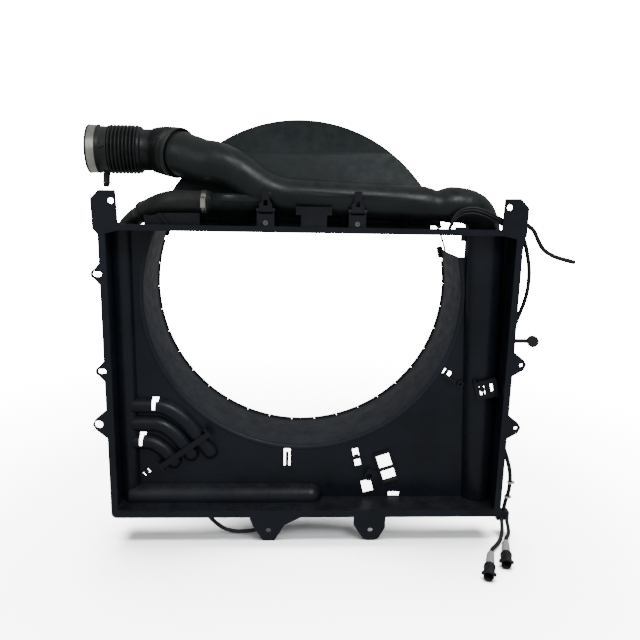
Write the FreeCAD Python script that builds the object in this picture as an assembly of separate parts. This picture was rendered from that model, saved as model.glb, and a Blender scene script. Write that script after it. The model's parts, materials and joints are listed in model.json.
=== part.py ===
import FreeCAD, Part
import math
import os

# Radiator fan shroud: a deep moulded pan with a fan ring, a raised cowl over the
# top of the fan, an air duct along the top rail and the wiring clipped to it.
# Millimetres. Origin: the fan axis where it meets the radiator flange plane.
# +X is right as seen from the radiator, +Y points at the engine, +Z is up.

V = FreeCAD.Vector

# ---- driving dimensions -------------------------------------------------------
FIT = 0.05                 # running fit of pins and screws, radial
GAP = 0.3                  # clearance between curved or soft neighbours
WALL = 3.0                 # moulded wall

# pan
FLANGE_LEFT = -300.0
FLANGE_RIGHT = 324.0
FLANGE_BOTTOM = -350.0
FLANGE_TOP = 115.0
FLANGE_WIDTH = 8.0         # sides and bottom
RAIL_HEIGHT = 9.0          # front face of the top rail
PAN_DEPTH = 54.0           # flange plane to the front of the back panel
RAIL_DEPTH = 62.0          # top wall, front to back
CORNER_R = 8.0

# fan ring
RING_R = 241.0             # rear land
RING_FLARE = 7.0           # mouth wider than the rear land
RING_WALL = 3.0
RING_FLANGE = 3.0          # lip that laps the panel
RING_REAR = 150.0
RING_LAND = 118.0          # where the rear land starts
RING_END_RIGHT = 66.0      # height where the ring stops on the right

# lip segments on the rear edge of the ring
LIP_PITCH = 9.5            # degrees
LIP_GAP = 0.75             # degrees
LIP_REACH = 2.2            # inside the rear land
LIP_DEPTH = 4.0

# cowl over the top of the ring
COWL_X = -6.0
COWL_Z = 38.0
COWL_R = 231.0
COWL_FRONT = 56.0          # front face at the rail
COWL_SLOPE = 0.3           # lean back per unit of height
COWL_BAND_FRONT = 112.0
COWL_EDGE_R = 9.0

# air duct
DUCT_Y = 33.0
DUCT_LEFT_Z = 157.5        # the straight stretch falls to the right
DUCT_RIGHT_Z = 148.5
DUCT_R = 26.5
DUCT_WALL = 2.4
OUTLET_R = 24.5
OUTLET_BOTTOM = 46.0
OUTLET_STRAIGHT = 42.0     # round spigot at the outlet

# air inlet
INLET_Y = 65.0
INLET_Z = 219.0
CUFF_R = 34.0
CUFF_BORE_R = 31.0
NECK_R = 30.3
NECK_WALL = 2.2
BELLOWS_R = 36.0
BELLOWS_ROOT_R = 32.8
BELLOWS_BORE_R = 30.4
BELLOWS_RIBS = 8
CLAMP_WIDTH = 11.0
INLET_CUFF = 31.0          # its length
BELLOWS_LENGTH = 43.0
NECK_LENGTH = 19.5
NECK_END = -228.0
NECK_RIBS = 9
NECK_BELLOWS_LENGTH = 34.0
MOUTH_DOWN = 8.0           # degrees that the neck bellows turns the air downwards
MOUTH_FORWARD = 36.0       # and towards the radiator
MOUTH_R = 32.4             # duct mouth inside its rubber cuff
MOUTH_CUFF = 14.0          # length of that cuff
MOUTH_CUFF_WALL = 3.8

# hose branch under the duct
HOSE_Y = 24.0
HOSE_Z = 147.0
HOSE_R = 16.0
HOSE_END = -141.0
STUB_R = 13.4
STUB_BORE_R = 11.4
STUB_START = -62.0         # inside the duct
STUB_LENGTH = 93.0
VENT_CLAMP_X = -148.5
VENT_CLAMP_WIDTH = 7.0
BAND_THICK = 0.8

# latches that hold the duct to the rail
LATCH_X = (-58.5, 75.5)
PIVOT_Y = 3.6
PIVOT_Z = 138.0
KNUCKLE_R = 3.2
KNUCKLE_WIDTH = 19.0
EAR_WIDTH = 3.0
LATCH_PIN_R = 1.5
LATCH_TOP = 167.0
LATCH_THICK = 3.0
CATCH_Z = 162.0
BASE_FRONT = 3.0
BASE_THICK = 4.0
UPRIGHT_THICK = 5.0
SCREW_HEIGHT = 11.0        # screw axis above the rail
SCREW_R = 2.2

# fixing holes
TOP_HOLE_X = (-279.0, 299.0)
TOP_HOLE_Z = 148.0
TOP_HOLE_R = 4.4
BOTTOM_HOLE_X = (-52.0, 112.5)
BOTTOM_HOLE_Z = -373.0
BOTTOM_HOLE_R = 4.2
RIGHT_HOLE_X = 336.5
RIGHT_HOLE_Z = (-93.0, -196.5)
RIGHT_HOLE_R = 3.0
LEFT_SLOT_Z = (41.5, -107.0)
LEFT_SLOT_X = -303.0
LEFT_SLOT_LONG = 12.4
LEFT_SLOT_R = 4.0
LOCATING_HOLE = (-312.0, -192.0)
LOCATING_HOLE_R = 6.3
TAB_THICK = 3.0

# wiring
HARNESS_R = 3.4
BREATHER_R = 3.4
LEAD_R = 3.2
WIRE_R = 1.3
BARREL_R = 8.0
FLOOR = -391.0             # underside of the lower fixing ears

RING_MOUTH_R = RING_R + RING_FLARE
RING_SEAT_R = RING_MOUTH_R + RING_WALL     # hole in the back panel
RING_LIP_R = RING_SEAT_R + RING_FLANGE
LIP_INNER_R = RING_R - LIP_REACH
BELLOWS_RIGHT = NECK_END - NECK_LENGTH
BELLOWS_LEFT = BELLOWS_RIGHT - BELLOWS_LENGTH
INLET_END = BELLOWS_LEFT - INLET_CUFF
TRAY_LEFT = FLANGE_LEFT + FLANGE_WIDTH
TRAY_RIGHT = FLANGE_RIGHT - FLANGE_WIDTH
TRAY_BOTTOM = FLANGE_BOTTOM + FLANGE_WIDTH + 1.0
TRAY_TOP = FLANGE_TOP - RAIL_HEIGHT
PANEL_REAR = PAN_DEPTH + WALL
RAIL_TOP = TRAY_TOP + WALL
BASE_REAR = BASE_FRONT + BASE_THICK
SCREW_Z = RAIL_TOP + SCREW_HEIGHT


# ---- small helpers ------------------------------------------------------------
def box(x0, x1, y0, y1, z0, z1):
    return Part.makeBox(x1 - x0, y1 - y0, z1 - z0, V(x0, y0, z0))


def cyl(point, direction, radius, length):
    return Part.makeCylinder(radius, length, V(*point), V(*direction))


def ring_of(point, direction, outer, inner, length):
    return cyl(point, direction, outer, length).cut(cyl(point, direction, inner, length))


def fuse(shapes):
    """One solid, with faces that continue each other merged."""
    result = shapes[0]
    for shape in shapes[1:]:
        result = result.fuse(shape)
    return result.removeSplitter()


def group(shapes):
    """Separate solids in one node."""
    solids = []
    for shape in shapes:
        solids += shape.Solids
    return Part.makeCompound(solids)


def plate(points, y0, y1):
    """An outline in X and Z given a thickness along Y."""
    corners = [V(x, y0, z) for x, z in points]
    face = Part.Face(Part.makePolygon(corners + corners[:1]))
    return face.extrude(V(0, y1 - y0, 0))


def side_plate(points, x0, x1):
    """An outline in Y and Z given a thickness along X."""
    corners = [V(x0, y, z) for y, z in points]
    face = Part.Face(Part.makePolygon(corners + corners[:1]))
    return face.extrude(V(x1 - x0, 0, 0))


def spin_y(profile):
    """A closed outline of (radius, y) turned about the fan axis."""
    corners = [V(r, y, 0) for r, y in profile]
    face = Part.Face(Part.makePolygon(corners + corners[:1]))
    return face.revolve(V(0, 0, 0), V(0, 1, 0), 360)


def spin_x(profile, y, z):
    """A closed outline of (x, radius) turned about a line along X."""
    corners = [V(x, y, z + r) for x, r in profile]
    face = Part.Face(Part.makePolygon(corners + corners[:1]))
    return face.revolve(V(0, y, z), V(1, 0, 0), 360)


def sector(r0, r1, y0, y1, start, end):
    """Part of a flat ring about the fan axis, between two angles from +X towards +Z."""
    face = Part.Face(Part.makePolygon([
        V(r0, y0, 0), V(r1, y0, 0), V(r1, y1, 0), V(r0, y1, 0), V(r0, y0, 0)]))
    solid = face.revolve(V(0, 0, 0), V(0, -1, 0), end - start)
    solid.rotate(V(0, 0, 0), V(0, -1, 0), start)
    return solid


def round_corners(solid, radius, axis):
    """Rounds the straight edges that run along one axis."""
    edges = [e for e in solid.Edges
             if abs(abs((e.Vertexes[-1].Point - e.Vertexes[0].Point).dot(axis)) - e.Length) < 1e-6]
    return solid.makeFillet(radius, edges)


def rounded_box(x0, x1, z0, z1, y0, y1, radius):
    return round_corners(box(x0, x1, y0, y1, z0, z1), radius, V(0, 1, 0))


def path(points):
    """Straight runs joined by tangent arcs, each as large as its runs allow."""
    pts = [V(*p) for p in points]
    edges = []
    radii = []
    length = 0.0
    start = pts[0]
    for before, corner, after in zip(pts, pts[1:], pts[2:]):
        a = before - corner
        b = after - corner
        reach = 0.45 * min(a.Length, b.Length)
        half_turn = (math.pi - a.getAngle(b)) / 2
        radius = reach / math.tan(half_turn)
        p0 = corner + V(a).normalize() * reach
        p1 = corner + V(b).normalize() * reach
        bisector = (V(a).normalize() + V(b).normalize()).normalize()
        middle = corner + bisector * (radius / math.cos(half_turn) - radius)
        edges.append(Part.LineSegment(start, p0).toShape())
        edges.append(Part.Arc(p0, middle, p1).toShape())
        length += (p0 - start).Length + radius * 2 * half_turn
        radii.append(radius)
        start = p1
    edges.append(Part.LineSegment(start, pts[-1]).toShape())
    length += (pts[-1] - start).Length
    return Part.Wire(edges), length, radii


def swept(points, radius, name):
    """A round bar along a path."""
    wire, length, radii = path(points)
    first = V(*points[1]) - V(*points[0])
    disc = Part.Face(Part.Wire(Part.makeCircle(radius, V(*points[0]), first)))
    solid = wire.makePipe(disc)
    if solid.ShapeType != "Solid":
        solid = solid.Solids[0]
    share = solid.Volume / (math.pi * radius ** 2 * length)
    print(f"{name}: length {length:.0f}, volume share {share:.3f}, tightest radius {min(radii):.1f}")
    return solid


def swept_tube(points, outer, inner, name):
    """A pipe along a path, open at both ends."""
    return swept(points, outer, name).cut(swept(points, inner, name + " bore"))


def circle_at(centre, direction, radius):
    return Part.Wire(Part.makeCircle(radius, centre, direction))


# ---- pan ----------------------------------------------------------------------
LEFT_CHANNEL_X = -280.0
LEFT_CHANNEL_R = 17.0
RIGHT_CHANNEL_TOP = (280.0, 61.0)
RIGHT_CHANNEL_BOTTOM = (298.0, 62.0)
RIGHT_CHANNEL_TOP_R = 32.0
RIGHT_CHANNEL_BOTTOM_R = 27.0
RAIL_LEFT = -236.0          # the rail is deeper from here, under the cowl
BOTTOM_CHANNEL_Z = -338.0
BOTTOM_CHANNEL_END = 14.0
BRANCHES = (
    ((-276, -180), (-222, -180), (-190, -202), (-157, -247), (-149, -259)),
    ((-276, -211), (-228, -211), (-205, -228), (-185, -255), (-180, -263)),
    ((-276, -242), (-243, -242), (-224, -255), (-212, -270), (-208, -276)),
)


def channel(radius, extra):
    """The hose channels pressed into the back panel, as round bars of one radius each.
    radius trims them all: nothing for the outside, a wall less for the inside."""
    top = TRAY_TOP + extra
    left = cyl((LEFT_CHANNEL_X, PANEL_REAR, TRAY_BOTTOM), (0, 0, 1), LEFT_CHANNEL_R + radius,
               top - TRAY_BOTTOM)
    corner = Part.makeSphere(LEFT_CHANNEL_R + radius, V(LEFT_CHANNEL_X, PANEL_REAR, TRAY_BOTTOM))
    bottom = cyl((LEFT_CHANNEL_X, PAN_DEPTH, BOTTOM_CHANNEL_Z), (1, 0, 0), 22 + radius,
                 BOTTOM_CHANNEL_END - LEFT_CHANNEL_X)
    bottom_end = Part.makeSphere(22 + radius, V(BOTTOM_CHANNEL_END, PAN_DEPTH, BOTTOM_CHANNEL_Z))
    return [left, corner, bottom, bottom_end, right_channel(radius, top)] + branch_channels(radius)


def right_channel(radius, top):
    """The tapering channel that the duct elbow drops into."""
    x0, y0 = RIGHT_CHANNEL_TOP
    x1, y1 = RIGHT_CHANNEL_BOTTOM
    return Part.makeLoft([
        circle_at(V(x0, y0, top), V(0, 0, 1), RIGHT_CHANNEL_TOP_R + radius),
        circle_at(V(x1, y1, TRAY_BOTTOM), V(0, 0, 1), RIGHT_CHANNEL_BOTTOM_R + radius)], True, True)


def branch_channels(radius):
    bars = []
    for branch in BRANCHES:
        points = [(x, PAN_DEPTH, z) for x, z in branch]
        bars.append(swept(points, 13 + radius, "branch channel"))
        bars.append(Part.makeSphere(13 + radius, V(*points[-1])))
    return bars


def ear(points, holes):
    """A fixing ear in the flange plane, with its round holes."""
    solid = plate(points, 0, TAB_THICK)
    for x, z, r in holes:
        solid = solid.cut(cyl((x, -1, z), (0, 1, 0), r, TAB_THICK + 2))
    return solid


def slotted_ear(z):
    """A small ear on the left with a slot across the edge."""
    tip = cyl((LEFT_SLOT_X - 2.2, 0, z), (0, 1, 0), LEFT_SLOT_R + 3.4, TAB_THICK)
    root = plate([(FLANGE_LEFT + 2, z + 16), (FLANGE_LEFT, z + 16), (LEFT_SLOT_X - 5, z + 6.8),
                  (LEFT_SLOT_X - 5, z - 6.8), (FLANGE_LEFT, z - 16), (FLANGE_LEFT + 2, z - 16)],
                 0, TAB_THICK)
    return tip.fuse(root)


def slot(z):
    half = LEFT_SLOT_LONG / 2 - LEFT_SLOT_R
    x = LEFT_SLOT_X
    bar = box(x - half, x + half, -1, TAB_THICK + 1, z - LEFT_SLOT_R, z + LEFT_SLOT_R)
    ends = [cyl((x + s * half, -1, z), (0, 1, 0), LEFT_SLOT_R, TAB_THICK + 2) for s in (-1, 1)]
    return fuse([bar] + ends)


def ears():
    left = FLANGE_LEFT
    right = FLANGE_RIGHT
    bottom = FLANGE_BOTTOM
    top = FLANGE_TOP
    hole_x, hole_z = LOCATING_HOLE
    solids = [slotted_ear(z) for z in LEFT_SLOT_Z]
    solids.append(ear([(left + 2, hole_z + 23), (left, hole_z + 23), (hole_x - 5, hole_z + 8.5),
                       (hole_x - 9.5, hole_z), (hole_x - 5, hole_z - 8.5), (left, hole_z - 23),
                       (left + 2, hole_z - 23)], [(hole_x, hole_z, LOCATING_HOLE_R)]))
    for z in RIGHT_HOLE_Z:
        x = RIGHT_HOLE_X
        solids.append(ear([(right - 2, z + 21), (right, z + 21), (x + 3, z + 9), (x + 8, z + 1),
                           (x + 4, z - 8), (right, z - 18), (right - 2, z - 18)],
                          [(x, z, RIGHT_HOLE_R)]))
    x, z = BOTTOM_HOLE_X[0], BOTTOM_HOLE_Z
    solids.append(ear([(x - 30, bottom + 2), (x - 30, bottom - 3), (x - 25.5, bottom - 14),
                       (x - 9, FLOOR), (x + 9, FLOOR), (x + 26, bottom - 13),
                       (x + 52, bottom), (x + 52, bottom + 2)], [(x, z, BOTTOM_HOLE_R)]))
    x = BOTTOM_HOLE_X[1]
    solids.append(ear([(x - 27.5, bottom + 2), (x - 27.5, bottom - 13), (x - 11, FLOOR + 2),
                       (x - 5, FLOOR), (x + 7, FLOOR), (x + 13, FLOOR + 3), (x + 24, bottom - 18),
                       (x + 24, bottom + 2)], [(x, z, BOTTOM_HOLE_R)]))
    x, z = TOP_HOLE_X[0], TOP_HOLE_Z
    solids.append(ear([(left, top - 15.5), (left - 7, top - 7), (left - 8, z + 3), (x - 17, z + 15),
                       (x + 6.5, z + 15), (x + 8.3, top + 3), (x + 13, top - 2), (x + 13, top - 8),
                       (left + 5, top - 15.5)], [(x, z, TOP_HOLE_R)]))
    x = TOP_HOLE_X[1]
    solids.append(ear([(right, top - 14.5), (right + 4, top - 8), (right + 4, z), (x + 16, z + 13),
                       (x - 7.5, z + 12.5), (x - 9, top), (x - 9, top - 8), (right - 5, top - 14.5)],
                      [(x, z, TOP_HOLE_R)]))
    return solids


def hook_slot(x, z):
    """A slot with a wide head and a narrower stem, as a clip needs to hook in."""
    head = box(x, x + 10.5, 20, 70, z - 6, z)
    stem = plate([(x, z - 5), (x + 6.4, z - 5), (x + 4.8, z - 20), (x + 2.6, z - 21.5), (x, z - 20)],
                 20, 70)
    return head.fuse(stem)


def turned_box(x, z, wide, high, turn, y0, y1):
    """A window centred on x and z, turned in the plane of the panel."""
    solid = box(x - wide / 2, x + wide / 2, y0, y1, z - high / 2, z + high / 2)
    solid.rotate(V(x, 0, z), V(0, -1, 0), turn)
    return solid


HOLDER_WINDOW = (292.5, -141.0, 28.0, 22.0, 15.0)
SLOT_WINDOW = (234.5, -122.5, 15.0, 9.0, -30.0)
BOX_WINDOW = (141.5, -286.0, 22.0, 47.0, 19.0)
CLIP_WINDOW = (92.0, -270.0, 10.0, 32.0, 12.0)
LOWER_WINDOW = (111.0, -322.0, 17.0, 22.0, 14.0)
CENTRE_WINDOW = (-23.0, -271.0, 11.0, 33.0, 0.0)
SQUARE_WINDOW = (-253.0, -297.0, 8.0, 13.0, -48.0)


def windows():
    """Cut-outs for the clips and holders, and the open corner beside the ring."""
    cuts = [turned_box(*w, 10, 70) for w in (
        HOLDER_WINDOW, SLOT_WINDOW, BOX_WINDOW, CLIP_WINDOW, LOWER_WINDOW, CENTRE_WINDOW, SQUARE_WINDOW)]
    cuts += [hook_slot(-239.5, -166), hook_slot(-261.5, -226)]
    cuts.append(box(200, 250, PAN_DEPTH - 2, 70, RING_END_RIGHT, 91))
    cuts.append(box(200, 243, PAN_DEPTH - 2, 70, 90, TRAY_TOP))
    cuts.append(box(147, 166, PAN_DEPTH - 2, 70, TRAY_BOTTOM + 0.5, TRAY_BOTTOM + 9))
    return cuts


def screw_upright(x):
    """The upright on the rail that takes a latch's screw."""
    return box(x - 9.5, x + 9.5, BASE_REAR, BASE_REAR + UPRIGHT_THICK, RAIL_TOP - 1, SCREW_Z + 6)


def shroud_pan():
    outer = rounded_box(TRAY_LEFT - WALL, TRAY_RIGHT + WALL, TRAY_BOTTOM - WALL, RAIL_TOP,
                        0, PANEL_REAR, CORNER_R)
    inner = rounded_box(TRAY_LEFT, TRAY_RIGHT, TRAY_BOTTOM, TRAY_TOP, -1, PAN_DEPTH, CORNER_R - WALL)
    flange = rounded_box(FLANGE_LEFT, FLANGE_RIGHT, FLANGE_BOTTOM, FLANGE_TOP, 0, WALL, CORNER_R)
    # the front rim is a second, deeper step inside the flange
    rim = rounded_box(TRAY_LEFT - 1, TRAY_RIGHT + 1, TRAY_BOTTOM - 1, TRAY_TOP + 1, 0, 7, CORNER_R - 2)
    rim = rim.cut(rounded_box(TRAY_LEFT + 2.5, TRAY_RIGHT - 2.5, TRAY_BOTTOM + 2.5, TRAY_TOP - 0.01,
                              -1, 8, CORNER_R - WALL))
    rail = box(RAIL_LEFT, TRAY_RIGHT, PAN_DEPTH, RAIL_DEPTH, TRAY_TOP, RAIL_TOP)
    pan = outer.fuse(flange).cut(inner).fuse(rim).fuse(rail)
    bulges = [bar.common(inner) for bar in channel(0, 0)]
    pan = pan.fuse(bulges)
    limit = box(TRAY_LEFT, TRAY_RIGHT, 0, 120, TRAY_BOTTOM, FLANGE_TOP + 5)
    pan = pan.cut([bar.common(limit) for bar in channel(-WALL, 10)])
    pan = pan.cut(cyl((0, PAN_DEPTH - 2, 0), (0, 1, 0), RING_SEAT_R, 8).common(
        box(-300, 300, 0, 100, -300, TRAY_TOP)))
    pan = pan.cut(windows())
    # the elbow leans forward where it passes the rail
    x, y = RIGHT_CHANNEL_TOP
    pan = pan.cut(cyl((x - 3, y - 3, TRAY_TOP - 1), (0, 0, 1), RIGHT_CHANNEL_TOP_R - WALL, 10))
    pan = pan.fuse(ears() + [screw_upright(x) for x in LATCH_X])
    pan = pan.cut([slot(z) for z in LEFT_SLOT_Z])
    for x in LATCH_X:
        pan = pan.cut(cyl((x, 0, SCREW_Z), (0, 1, 0), SCREW_R + FIT, 30))
    return pan.removeSplitter()


# ---- fan ring -----------------------------------------------------------------
def fan_ring():
    profile = [(RING_LIP_R, PAN_DEPTH), (RING_LIP_R, PAN_DEPTH - 2.6), (RING_SEAT_R, PAN_DEPTH - 2.4),
               (RING_MOUTH_R + 1, PAN_DEPTH - 1), (RING_MOUTH_R, PAN_DEPTH + 2), (RING_R, RING_LAND),
               (RING_R, RING_REAR), (RING_R + RING_WALL, RING_REAR), (RING_R + RING_WALL, RING_LAND),
               (RING_SEAT_R - GAP, PANEL_REAR + 1), (RING_SEAT_R - GAP, PAN_DEPTH)]
    ring = spin_y(profile)
    ring = ring.cut(box(-300, 300, 0, 200, TRAY_TOP - GAP, 300))
    return ring.cut(box(0, 300, 0, 200, RING_END_RIGHT, 300))


def lip_segments(start, end):
    """Flexible lips clipped to the rear edge of the ring, side by side."""
    count = int((end - start) / LIP_PITCH)
    first = start + (end - start - count * LIP_PITCH) / 2
    return group([sector(LIP_INNER_R, RING_R + RING_WALL - 0.2, RING_REAR, RING_REAR + LIP_DEPTH,
                         first + i * LIP_PITCH + LIP_GAP / 2, first + (i + 1) * LIP_PITCH - LIP_GAP / 2)
                  for i in range(count)])


def ring_angle(height):
    return math.degrees(math.asin(height / (RING_R + RING_WALL / 2)))


# ---- upper cowl ---------------------------------------------------------------
def cowl_block(inset, z_low):
    """The space under the leaning cowl, moved in from its surface by inset."""
    back = RING_REAR if inset == 0 else RING_REAR + 10
    lean = inset * math.hypot(1, COWL_SLOPE)
    body = cyl((COWL_X, 0, COWL_Z), (0, 1, 0), COWL_R - inset, back)
    z_high = COWL_Z + COWL_R + 10
    y_low = COWL_FRONT + COWL_SLOPE * (z_low - RAIL_TOP) + lean
    y_high = COWL_FRONT + COWL_SLOPE * (z_high - RAIL_TOP) + lean
    front = side_plate([(y_low, z_low), (back, z_low), (back, z_high), (y_high, z_high)],
                       COWL_X - COWL_R - 10, COWL_X + COWL_R + 10)
    return body.common(front)


def round_cowl_edge(solid, radius):
    """Rounds the curved front edge, which is the longest edge of the leaning face."""
    leaning = [f for f in solid.Faces
               if f.Surface.TypeId == "Part::GeomPlane" and f.normalAt(0, 0).y < -0.5]
    edge = max(leaning[0].Edges, key=lambda e: e.Length)
    return solid.makeFillet(radius, [edge])


def upper_cowl():
    outer = round_cowl_edge(cowl_block(0, RAIL_TOP), COWL_EDGE_R)
    inner = round_cowl_edge(cowl_block(WALL, RAIL_TOP - 20), COWL_EDGE_R - WALL)
    # a wall is left at the rear, outside the ring band
    inner = inner.common(box(-300, 300, 0, RING_REAR - WALL, 0, 300))
    band = ring_of((0, COWL_BAND_FRONT, 0), (0, 1, 0), RING_R + RING_WALL, RING_R,
                   RING_REAR - COWL_BAND_FRONT)
    band = band.common(cowl_block(0, RAIL_TOP))
    cowl = outer.cut(inner).fuse(band)
    cowl = cowl.cut(cyl((0, COWL_BAND_FRONT - 4, 0), (0, 1, 0), RING_R, 100))
    foot = box(-205, 195, COWL_FRONT - 0.5, RAIL_DEPTH - 0.5, RAIL_TOP, RAIL_TOP + 5)
    ribs = [side_plate([(COWL_FRONT + 2, RAIL_TOP + 2), (RAIL_DEPTH - 1, RAIL_TOP + 2),
                        (RAIL_DEPTH + 6, RAIL_TOP + 24), (COWL_FRONT + 8, RAIL_TOP + 24)], x - 1.2, x + 1.2)
            for x in (-150, -75, 0, 75, 150)]
    cowl = cowl.fuse(foot.common(cowl_block(0, RAIL_TOP))).fuse(ribs)
    return cowl.removeSplitter()


def cowl_hook_right():
    """Spring leg from the cowl's band down to a hook over the end of the ring."""
    leg = sector(RING_R + GAP, RING_R + RING_WALL - GAP, COWL_BAND_FRONT + 1, COWL_BAND_FRONT + 7,
                 ring_angle(RING_END_RIGHT + 1), ring_angle(RAIL_TOP) - 0.2)
    leg = leg.common(box(0, 300, 0, 200, RING_END_RIGHT, RAIL_TOP))
    end = ring_angle(RING_END_RIGHT)
    clip = sector(RING_R - 5, RING_R - GAP, 146, 158, end - 3.4, end + 0.8)
    clip = clip.fuse(sector(RING_R - 5, RING_R + RING_WALL + 2, 154.5, 158, end - 3.4, end + 0.8))
    return group([leg, clip])


def cowl_hook_left():
    """Clip that bridges the joint of the ring and the cowl on the left."""
    joint = 180 - ring_angle(TRAY_TOP)
    outside = RING_R + RING_WALL
    plate_out = sector(outside + GAP, outside + 3, 128, 142, joint - 2.4, joint + 6)
    tooth = sector(RING_R - 4, RING_R - GAP, 147, 158, joint + 2.2, joint + 6)
    tooth = tooth.fuse(sector(RING_R - 4, outside + 1, 154.5, 158, joint + 2.2, joint + 6))
    return group([plate_out, tooth])


# ---- air duct -----------------------------------------------------------------
def turned(down, forward):
    """A direction along +X turned down and towards the radiator."""
    a = math.radians(down)
    b = math.radians(forward)
    return V(math.cos(a) * math.cos(b), -math.sin(b), -math.sin(a) * math.cos(b))


NECK_START = V(NECK_END, INLET_Y, INLET_Z)
MOUTH_AXIS = turned(MOUTH_DOWN, MOUTH_FORWARD)
def neck_station(share):
    """Centre and direction part of the way along the neck bellows."""
    direction = turned(MOUTH_DOWN * share, MOUTH_FORWARD * share)
    centre = V(NECK_START)
    steps = 20
    for i in range(steps):
        mid = (i + 0.5) / steps * share
        centre += turned(MOUTH_DOWN * mid, MOUTH_FORWARD * mid) * (NECK_BELLOWS_LENGTH * share / steps)
    return centre, direction


MOUTH = neck_station(1)[0]
OUTLET_X, OUTLET_Y = RIGHT_CHANNEL_TOP
OUTLET_X += 0.5
OUTLET_Y += 0.5


def mouth_seat():
    return MOUTH + MOUTH_AXIS * 3


def duct_stations():
    """Centre and radius along the duct: a curved stretch at each end, straight between."""
    mouth = mouth_seat()
    y = DUCT_Y
    z = DUCT_LEFT_Z
    left = [
        (mouth, MOUTH_R),
        (MOUTH + MOUTH_AXIS * (MOUTH_CUFF + 1), MOUTH_R),
        (V(-152, y + 5, z + 47.5), MOUTH_R - 0.7),
        (V(-134, y + 1.5, z + 46), MOUTH_R - 1.6),
        (V(-112, y + 0.5, z + 39.5), MOUTH_R - 3.4),
        (V(-91, y, z + 28), DUCT_R + 1.2),
        (V(-70, y, z + 14), DUCT_R + 0.7),
        (V(-48, y, z + 4.5), DUCT_R + 0.5),
        (V(-25, y, z), DUCT_R),
    ]
    z = DUCT_RIGHT_Z
    right = [
        (V(176, y, z), DUCT_R),
        (V(196, y, z - 2.5), DUCT_R - 3.5),
        (V(217, y, z - 0.5), DUCT_R + 0.6),
        (V(238, y + 2, z - 1.5), DUCT_R),
        (V(257, y + 9, z - 8), DUCT_R - 0.5),
        (V(270, y + 19, z - 21.5), DUCT_R - 1),
        (V(OUTLET_X - 1, OUTLET_Y - 0.5, z - 40), OUTLET_R),
        (V(OUTLET_X, OUTLET_Y, OUTLET_BOTTOM + OUTLET_STRAIGHT), OUTLET_R),
    ]
    return left, right


def eased(stations, first, last, steps):
    """More stations along a smooth curve through the given ones, with directions."""
    points = [c for c, r in stations]
    headings = [V(first)]
    headings += [(after - before).normalize() for before, after in zip(points, points[2:])]
    headings.append(V(last))
    result = []
    for i in range(len(points) - 1):
        a, b = points[i], points[i + 1]
        run = (b - a).Length
        leave, arrive = headings[i] * run, headings[i + 1] * run
        for k in range(steps):
            t = k / steps
            centre = (a * (2 * t ** 3 - 3 * t ** 2 + 1) + leave * (t ** 3 - 2 * t ** 2 + t)
                      + b * (3 * t ** 2 - 2 * t ** 3) + arrive * (t ** 3 - t ** 2))
            slope = (a * (6 * t ** 2 - 6 * t) + leave * (3 * t ** 2 - 4 * t + 1)
                     + b * (6 * t - 6 * t ** 2) + arrive * (3 * t ** 2 - 2 * t))
            smooth = t * t * (3 - 2 * t)
            radius = stations[i][1] * (1 - smooth) + stations[i + 1][1] * smooth
            result.append((centre, slope.normalize(), radius))
    result.append((points[-1], V(last).normalize(), stations[-1][1]))
    return result


def duct_body(inset):
    """The duct's space: two curved stretches with a straight one between them."""
    left, right = duct_stations()
    start, end = left[-1][0], right[0][0]
    along = (end - start).normalize()
    curved = [Part.makeLoft([circle_at(c, d, r - inset) for c, d, r in part], True, True)
              for part in (eased(left, MOUTH_AXIS, along, 2), eased(right, along, V(0, 0, -1), 2))]
    straight = cyl(start, along, DUCT_R - inset, (end - start).Length)
    spigot = cyl(right[-1][0], (0, 0, -1), OUTLET_R - inset, OUTLET_STRAIGHT)
    return curved[0].fuse(straight).fuse(curved[1]).fuse(spigot)


def duct_foot(x):
    """A rib under the duct with a flat sole on the rail."""
    return box(x - 2.5, x + 2.5, DUCT_Y - 14, DUCT_Y + 13, RAIL_TOP, DUCT_RIGHT_Z)


def catch(x):
    """The nose that a latch hooks over."""
    return box(x - 5.5, x + 5.5, BASE_FRONT + 0.8, DUCT_Y - 10, CATCH_Z - 4, CATCH_Z)


def air_duct():
    stub = cyl((STUB_START, HOSE_Y, HOSE_Z), (-1, 0, 0), STUB_R, STUB_LENGTH)
    shoulder = cyl((HOSE_END, HOSE_Y, HOSE_Z), (1, 0, 0), HOSE_R, 3)
    web = box(-128, -84, HOSE_Y - 1.5, HOSE_Y + 1.5, RAIL_TOP, HOSE_Z)
    duct = duct_body(0)
    feet = [duct_foot(x) for x in (LATCH_X[0] + 18, 10, LATCH_X[1] - 18, 150)]
    for shape in [stub, shoulder, web] + feet + [catch(x) for x in LATCH_X]:
        duct = duct.fuse(shape)
    duct = duct.cut(duct_body(DUCT_WALL))
    return duct.cut(cyl((STUB_START, HOSE_Y, HOSE_Z), (-1, 0, 0), STUB_BORE_R, STUB_LENGTH + 1))


def duct_bracket():
    """T-shaped stop in front of the duct, standing on the rail behind the flange."""
    y0 = BASE_FRONT
    head = box(-14.5, 38, y0, y0 + 3, 132, 144)
    stem = box(-7, 31, y0, y0 + 3, RAIL_TOP, 133)
    sole = box(-7, 31, y0, y0 + 12, RAIL_TOP, RAIL_TOP + 3)
    ribs = [side_plate([(y0 + 2, RAIL_TOP), (y0 + 11, RAIL_TOP), (y0 + 4, 128), (y0 + 2, 128)], x, x + 2)
            for x in (-5, 11, 27)]
    lip = [box(x, x + 4, y0 - 1.6, y0, 140, 144) for x in (-14.5, 34)]
    return fuse([head, stem, sole] + ribs + lip)


# ---- latches ------------------------------------------------------------------
PIN_BORE = LATCH_PIN_R + FIT
EAR_INNER = KNUCKLE_WIDTH / 2 + 0.3
EAR_OUTER = EAR_INNER + EAR_WIDTH


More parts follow.
